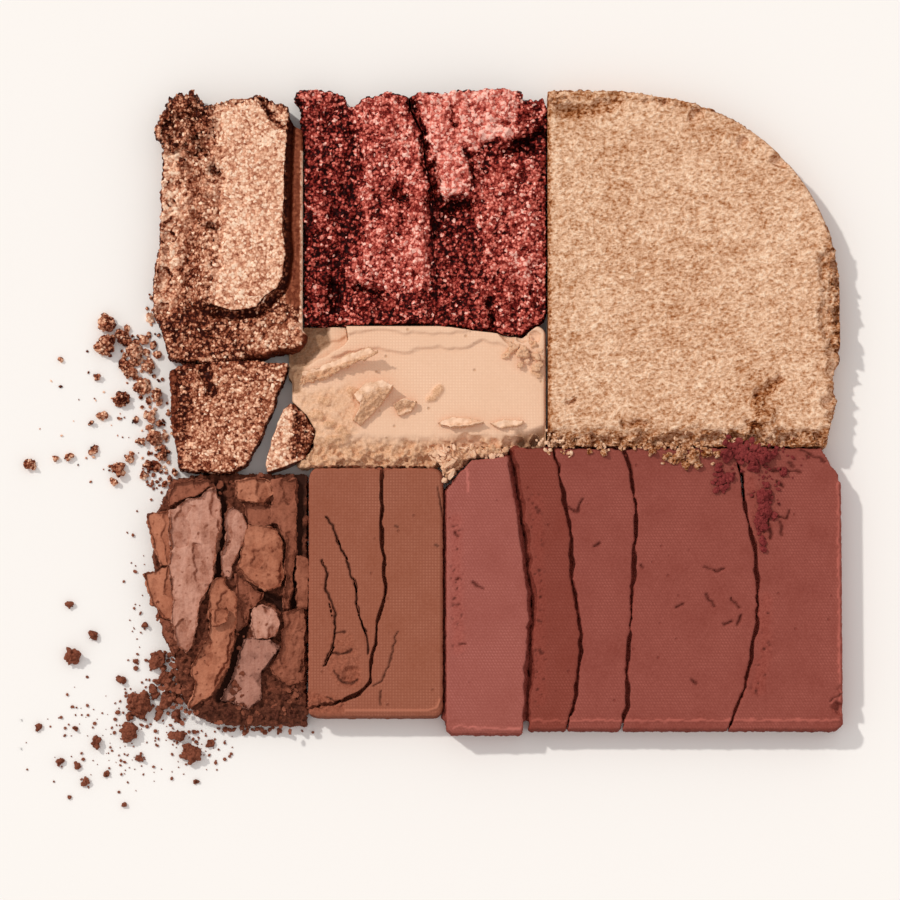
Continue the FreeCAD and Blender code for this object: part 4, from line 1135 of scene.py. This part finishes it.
def front_shade(piece):
    """A dark share for the walls that turn to the camera and away from the lamp."""
    facing = skin(piece)[1]
    return 0.35 * wall_of(facing) * fade(-facing[:, 1], 0.4, 0.8)


for node, voxel in (("brown_left_slab", 0.09), ("brown_right_slab", 0.12)):
    piece, points, top, wall = begin(node, voxel)
    front = front_shade(piece)
    jagged = wander(points, 0.5, 0.18)
    cracks = along(jagged, 0.02, 0.17, *HAIR_CRACKS)
    scars = along(jagged, 0.02, 0.16, *SCARS)
    dent = within(jagged, 0.5, (345, 668), (359, 668), (360, 680), (350, 688), (343, 682))
    rough_patch = within(jagged, 0.8, (331, 636), (352, 634), (362, 660), (362, 690), (338, 690), (328, 668))
    rough_foot = within(jagged, 0.6, (305, 690), (346, 700), (344, 714), (305, 714))
    close_up(piece, along(points, 0.5, 1.0, BROWN_CRACK), 0.25)
    open_lips(piece, along(points, 0.5, 1.0, BROWN_CRACK), 0.4)
    push(piece, top * along(points, 0.06, 0.24, BROWN_BURR), 0.14)
    push(piece, top * cracks, -0.35)
    push(piece, top * scars, -0.2)
    push(piece, top * dent, -0.35)
    roughen(piece, top * rough_patch, 0.3, 0.2, 0.06)
    roughen(piece, rough_foot, 0.4, 0.3, 0.1)
    roughen(piece, wall, 0.1, 0.12, 0.05)
    dots = along(jagged, 0.08, 0.2, ((435, 545), (437, 547)), ((396, 527), (397, 527)))
    broken = cracks + scars + 0.7 * rough_patch + 0.7 * dent + rough_foot + wall
    paint(piece, "broken", unit(broken))
    # Painted shade in the hair cracks and scars and on the walls that turn to the camera, the dots painted
    # dark too; below, a painted highlight along the burr.
    paint(piece, "crack", unit(0.9 * cracks + 0.7 * scars + 0.6 * dots) * top + front)
    paint(piece, "pale", 0.5 * top * along(points, 0.04, 0.16, BROWN_BURR))
    dress(piece, node)

# %% [markdown]
# ## Mauve cake
# Five slabs of one block. Their faces carry a fine twill print, their edges broke in short steps,
# and loose powder reddens the left-hand edges. A thin burr stands along the front edge, and a pale
# line on it is a painted highlight. The slab on the left is painted paler, as sheen, and the next one
# darker, as shade. The walls that turn to the camera are painted in shade, and the nicks and the
# grit darker as shade in their small hollows.

# %% Mauve slabs
MAUVE = {
    "mauve_slab_a": "mauve_sheen", "mauve_slab_b": "mauve_shaded", "mauve_slab_c": "mauve",
    "mauve_slab_d": "mauve", "mauve_slab_e": "mauve",
}
MAUVE_NICKS = (
    ((704, 568), (714, 571), (722, 569)), ((704, 596), (714, 606)), ((676, 608), (682, 606)),
    ((730, 598), (738, 608)), ((740, 616), (738, 626)), ((722, 625), (732, 622)), ((767, 519), (771, 540)),
    ((775, 515), (786, 520), (788, 512)), ((780, 524), (782, 536)), ((569, 508), (577, 512), (582, 500)),
    ((472, 584), (484, 590)), ((455, 534), (458, 536)), ((457, 580), (459, 578)),
    ((457, 606), (460, 604)), ((460, 645), (464, 644)), ((772, 470), (800, 472)), ((802, 450), (826, 462)),
    ((829, 702), (838, 694)), ((595, 546), (599, 544)), ((640, 566), (642, 568)), ((788, 462), (794, 466)),
    ((806, 456), (808, 459)), ((778, 482), (784, 486)), ((690, 680), (694, 684)),
)
RED_EDGES = (
    ((456, 520), (456, 560), (458, 650)), ((536, 500), (538, 580), (540, 700)),
    ((765, 600), (764, 650), (756, 690)), ((746, 470), (755, 500), (762, 540)),
)
MAUVE_CRACKS = (
    ((508, 440), (516, 486), (525, 542), (532, 610), (530, 641), (527, 691), (526, 710)),
    (
        (551, 440), (563, 494), (566, 517), (570, 548), (570, 582), (580, 635), (576, 680), (573, 703),
        (571, 710),
    ),
    ((619, 440), (630, 471), (635, 505), (635, 531), (629, 635), (625, 672), (626, 708), (624, 710)),
    ((746, 510), (753, 545), (756, 590), (754, 632), (743, 689), (734, 708), (733, 710)),
)
MAUVE_LEFT_GAP = ((446, 478), (446, 722))
MAUVE_LEFT_FOOT = ((446, 478), (446, 712))
MAUVE_BURRS = (
    ((454, 727), (520, 730)), ((532, 721), (836, 721)), ((838, 480), (838, 716)), ((829, 704), (837, 696)),
)
for node, finish in MAUVE.items():
    piece, points, top, wall = begin(node, 0.14)
    front = front_shade(piece)
    jagged = wander(points, 0.6, 0.25)
    nicks = along(jagged, 0.03, 0.22, *MAUVE_NICKS)
    red_edges = along(jagged, 0.2, 1.0, *RED_EDGES)
    grit = red_edges * fade(patchy(points, 0.4), 0.5, 0.9)
    close_up(piece, along(points, 0.8, 1.2, *MAUVE_CRACKS), 0.45)
    open_lips(piece, along(points, 0.6, 1.0, *MAUVE_CRACKS), 0.4)
    push(piece, wall * along(points, 0.4, 0.9, MAUVE_LEFT_GAP), -0.2, None, "NORMAL")
    push(piece, top * along(points, 0.06, 0.24, *MAUVE_BURRS), 0.14)
    push(piece, top, 0.06, broad)
    push(piece, top * unit(nicks + 0.6 * grit), -0.25)
    roughen(piece, top * nicks, 0.15, 0.2, 0.1)
    roughen(piece, wall, 0.18, 0.24, 0.1)
    close_up(piece, along(points, 0.4, 0.9, MAUVE_LEFT_FOOT), 0.4)
    paint(piece, "broken", unit(wall + nicks + 0.55 * red_edges))
    # Painted shade in the nicks and the grit and on the walls that turn to the camera.
    paint(piece, "crack", unit(0.6 * nicks + 0.5 * grit) * top + front)
    # Painted highlight along the burrs; the mark on slab a is a pale scratch.
    pale = along(jagged, 0.04, 0.16, *MAUVE_BURRS, ((464, 462), (468, 478), (467, 490)))
    paint(piece, "pale", 0.55 * top * pale)
    dress(piece, node, finish)

# %% [markdown]
# ## Crumbs
# Crumbs are broken powder all round, so each is pushed hard by three sizes of lump until no two
# look alike, and a slow noise gives each its own shade. The crumbs at the foot of the cocoa cake
# take a darker copy of the cocoa, painted in shade.

# %% Crumbs
CRUMBS = {
    "copper_corner_crumbs": ("copper", 0.42), "copper_crumbs": ("copper", 0.58),
    "champagne_crumbs": ("champagne", 0.42), "champagne_corner_flake": ("champagne", 0.66),
    "cream_corner_crumbs": ("cream", 0.8), "cocoa_foot_crumbs": ("cocoa_shaded", 1),
    "cocoa_crumbs": ("cocoa", 0.8), "cocoa_side_crumbs": ("cocoa", 0.9), "berry_crumbs": ("berry", 0.8),
}
for node, (finish, amount) in CRUMBS.items():
    piece = powder_copy(node, 0.085)
    points = skin(piece)[0]
    roughen(piece, fade(points[:, 2], 0.02, 0.25), 0.8, 0.65, 0.2)
    amount = amount + 0.2 * patchy(points, 1.5)
    paint(piece, "light" if finish in SHIMMERS else "broken", unit(amount))
    dress(piece, node, finish)

# %% [markdown]
# ## Grit and dust
# Around the crumbs lies dust, too fine to be solids of its own. Two shapes are modelled, a rough
# grain and a flat chip. Each is copied, turned and flattened, thrown about a few middle points, and
# the copies are joined into one piece for each place. Every heap says how high its floor is: the
# table, the layer under the cocoa flakes, or the face of a cake.

# %% Grain and chip
def rough_shape(seed, chip):
    """One grain of about one millimetre, or one chip with a flat face and few corners."""
    bpy.ops.object.select_all(action="DESELECT")
    if chip:
        bpy.ops.mesh.primitive_cylinder_add(vertices=6, radius=0.5 * MM, depth=0.6 * MM)
    else:
        bpy.ops.mesh.primitive_ico_sphere_add(subdivisions=1, radius=0.5 * MM)
    shape = bpy.context.object
    bpy.ops.object.mode_set(mode="EDIT")
    bpy.ops.mesh.select_all(action="SELECT")
    if chip:
        bpy.ops.mesh.bevel(offset=0.07 * MM, segments=1)
    else:
        bpy.ops.mesh.subdivide(number_cuts=1)
    bpy.ops.transform.vertex_random(offset=0.16 * MM, seed=seed)
    bpy.ops.object.mode_set(mode="OBJECT")
    return shape


print("grain and chip ready")

# %% Scatter
chance = random.Random(17)


def scatter(name, finish, chips, slim, heaps):
    """Throws copies of the rough shapes about the middles of the heaps, and joins them."""
    shapes = [rough_shape(seed, chips) for seed in range(3)]
    grains = []
    for across, down, spread_x, spread_y, count, least, most, floor in heaps:
        for _ in range(count):
            grain = chance.choice(shapes).copy()
            grain.data = grain.data.copy()
            bpy.context.collection.objects.link(grain)
            size = (least + (most - least) * chance.random() ** 2) / STEPS
            x, y = spots((chance.gauss(across, spread_x), chance.gauss(down, spread_y)))[0]
            flat = size * chance.uniform(0.45, 0.7)
            grain.scale = (size * chance.uniform(0.7, 1.2), size * slim * chance.uniform(0.6, 1.0), flat)
            tip = (chance.uniform(-0.3, 0.3), chance.uniform(-0.3, 0.3))
            grain.rotation_euler = (*tip, chance.uniform(0, 6.3))
            grain.location = (x * MM, y * MM, (floor + 0.4 * flat) * MM)
            grains.append(grain)
    bpy.ops.object.select_all(action="DESELECT")
    for shape in shapes:
        shape.select_set(True)
    bpy.ops.object.delete()
    for grain in grains:
        grain.select_set(True)
    piece = grains[0]
    bpy.context.view_layer.objects.active = piece
    bpy.ops.object.transform_apply(location=True, rotation=True, scale=True)
    bpy.ops.object.join()
    piece.name = name
    cake = finish.split("_")[0]
    points = skin(piece)[0]
    paint(piece, "light" if cake in SHIMMERS else "broken", 0.55 + 0.3 * patchy(points, 1.5))
    settle(piece, finish)
    print(name, len(grains), "grains")


print("scatter ready")

# %% Grit and dust
MAUVE_FACE = 3.0
COCOA_INFILL = 1.75
scatter("copper_dust", "copper", False, 1.0, (
    (134, 348, 11, 14, 60, 4, 12, 0), (142, 380, 8, 9, 30, 3, 9, 0), (158, 440, 9, 24, 70, 3, 10, 0),
    (150, 318, 3, 14, 16, 3, 7, 0), (104, 420, 36, 34, 46, 1.5, 4.5, 0),
))
scatter("cocoa_dust", "cocoa", False, 1.0, (
    (172, 684, 9, 20, 60, 4, 10, 0), (142, 690, 22, 22, 60, 2, 6, 0), (124, 736, 42, 26, 150, 1.2, 4.5, 0),
    (200, 744, 26, 12, 56, 1.5, 5, 0), (140, 590, 7, 44, 26, 1.5, 4.5, 0), (252, 728, 34, 2, 34, 3, 7, 0),
    (158, 480, 10, 6, 20, 3, 7, 0),
))
scatter("cocoa_rubble", "cocoa", True, 0.8, (
    (196, 484, 12, 7, 26, 5, 11, COCOA_INFILL), (250, 486, 16, 7, 22, 4, 9, COCOA_INFILL),
    (178, 690, 8, 16, 46, 4, 9, COCOA_INFILL - 0.5), (255, 712, 26, 6, 60, 4, 9, COCOA_INFILL - 0.3),
    (300, 560, 2, 40, 24, 3, 7, COCOA_INFILL - 0.4), (292, 680, 5, 16, 20, 5, 10, COCOA_INFILL),
    (163, 606, 5, 14, 14, 4, 8, COCOA_INFILL - 0.5), (242, 600, 12, 30, 30, 3, 7, COCOA_INFILL),
))
scatter("champagne_grit", "champagne", False, 1.0, (
    (690, 452, 12, 6, 60, 3, 7, MAUVE_FACE), (640, 447, 34, 2, 50, 3, 6, MAUVE_FACE),
    (560, 445, 8, 5, 24, 3, 6, MAUVE_FACE), (740, 444, 20, 3, 24, 3, 6, MAUVE_FACE),
))
scatter("berry_grit", "berry", False, 1.0, (
    (748, 452, 12, 6, 90, 4, 10, MAUVE_FACE), (722, 480, 4, 6, 40, 4, 9, MAUVE_FACE),
    (763, 512, 4, 14, 70, 4, 10, MAUVE_FACE), (770, 470, 16, 14, 60, 2, 5, MAUVE_FACE),
))
scatter("cream_spikes", "cream_shaving", True, 0.4, (
    (446, 466, 5, 8, 12, 6, 17, MAUVE_FACE), (470, 452, 16, 3, 12, 5, 12, 2.6),
    (434, 458, 5, 4, 8, 5, 11, MAUVE_FACE),
))
scatter("cream_grit", "cream_shaving", False, 1.0, (
    (446, 462, 7, 6, 26, 4, 9, MAUVE_FACE), (474, 452, 18, 3, 40, 4, 9, 2.4), (538, 350, 5, 7, 26, 3, 8, 2.8),
    (548, 440, 4, 5, 12, 3, 6, MAUVE_FACE),
))
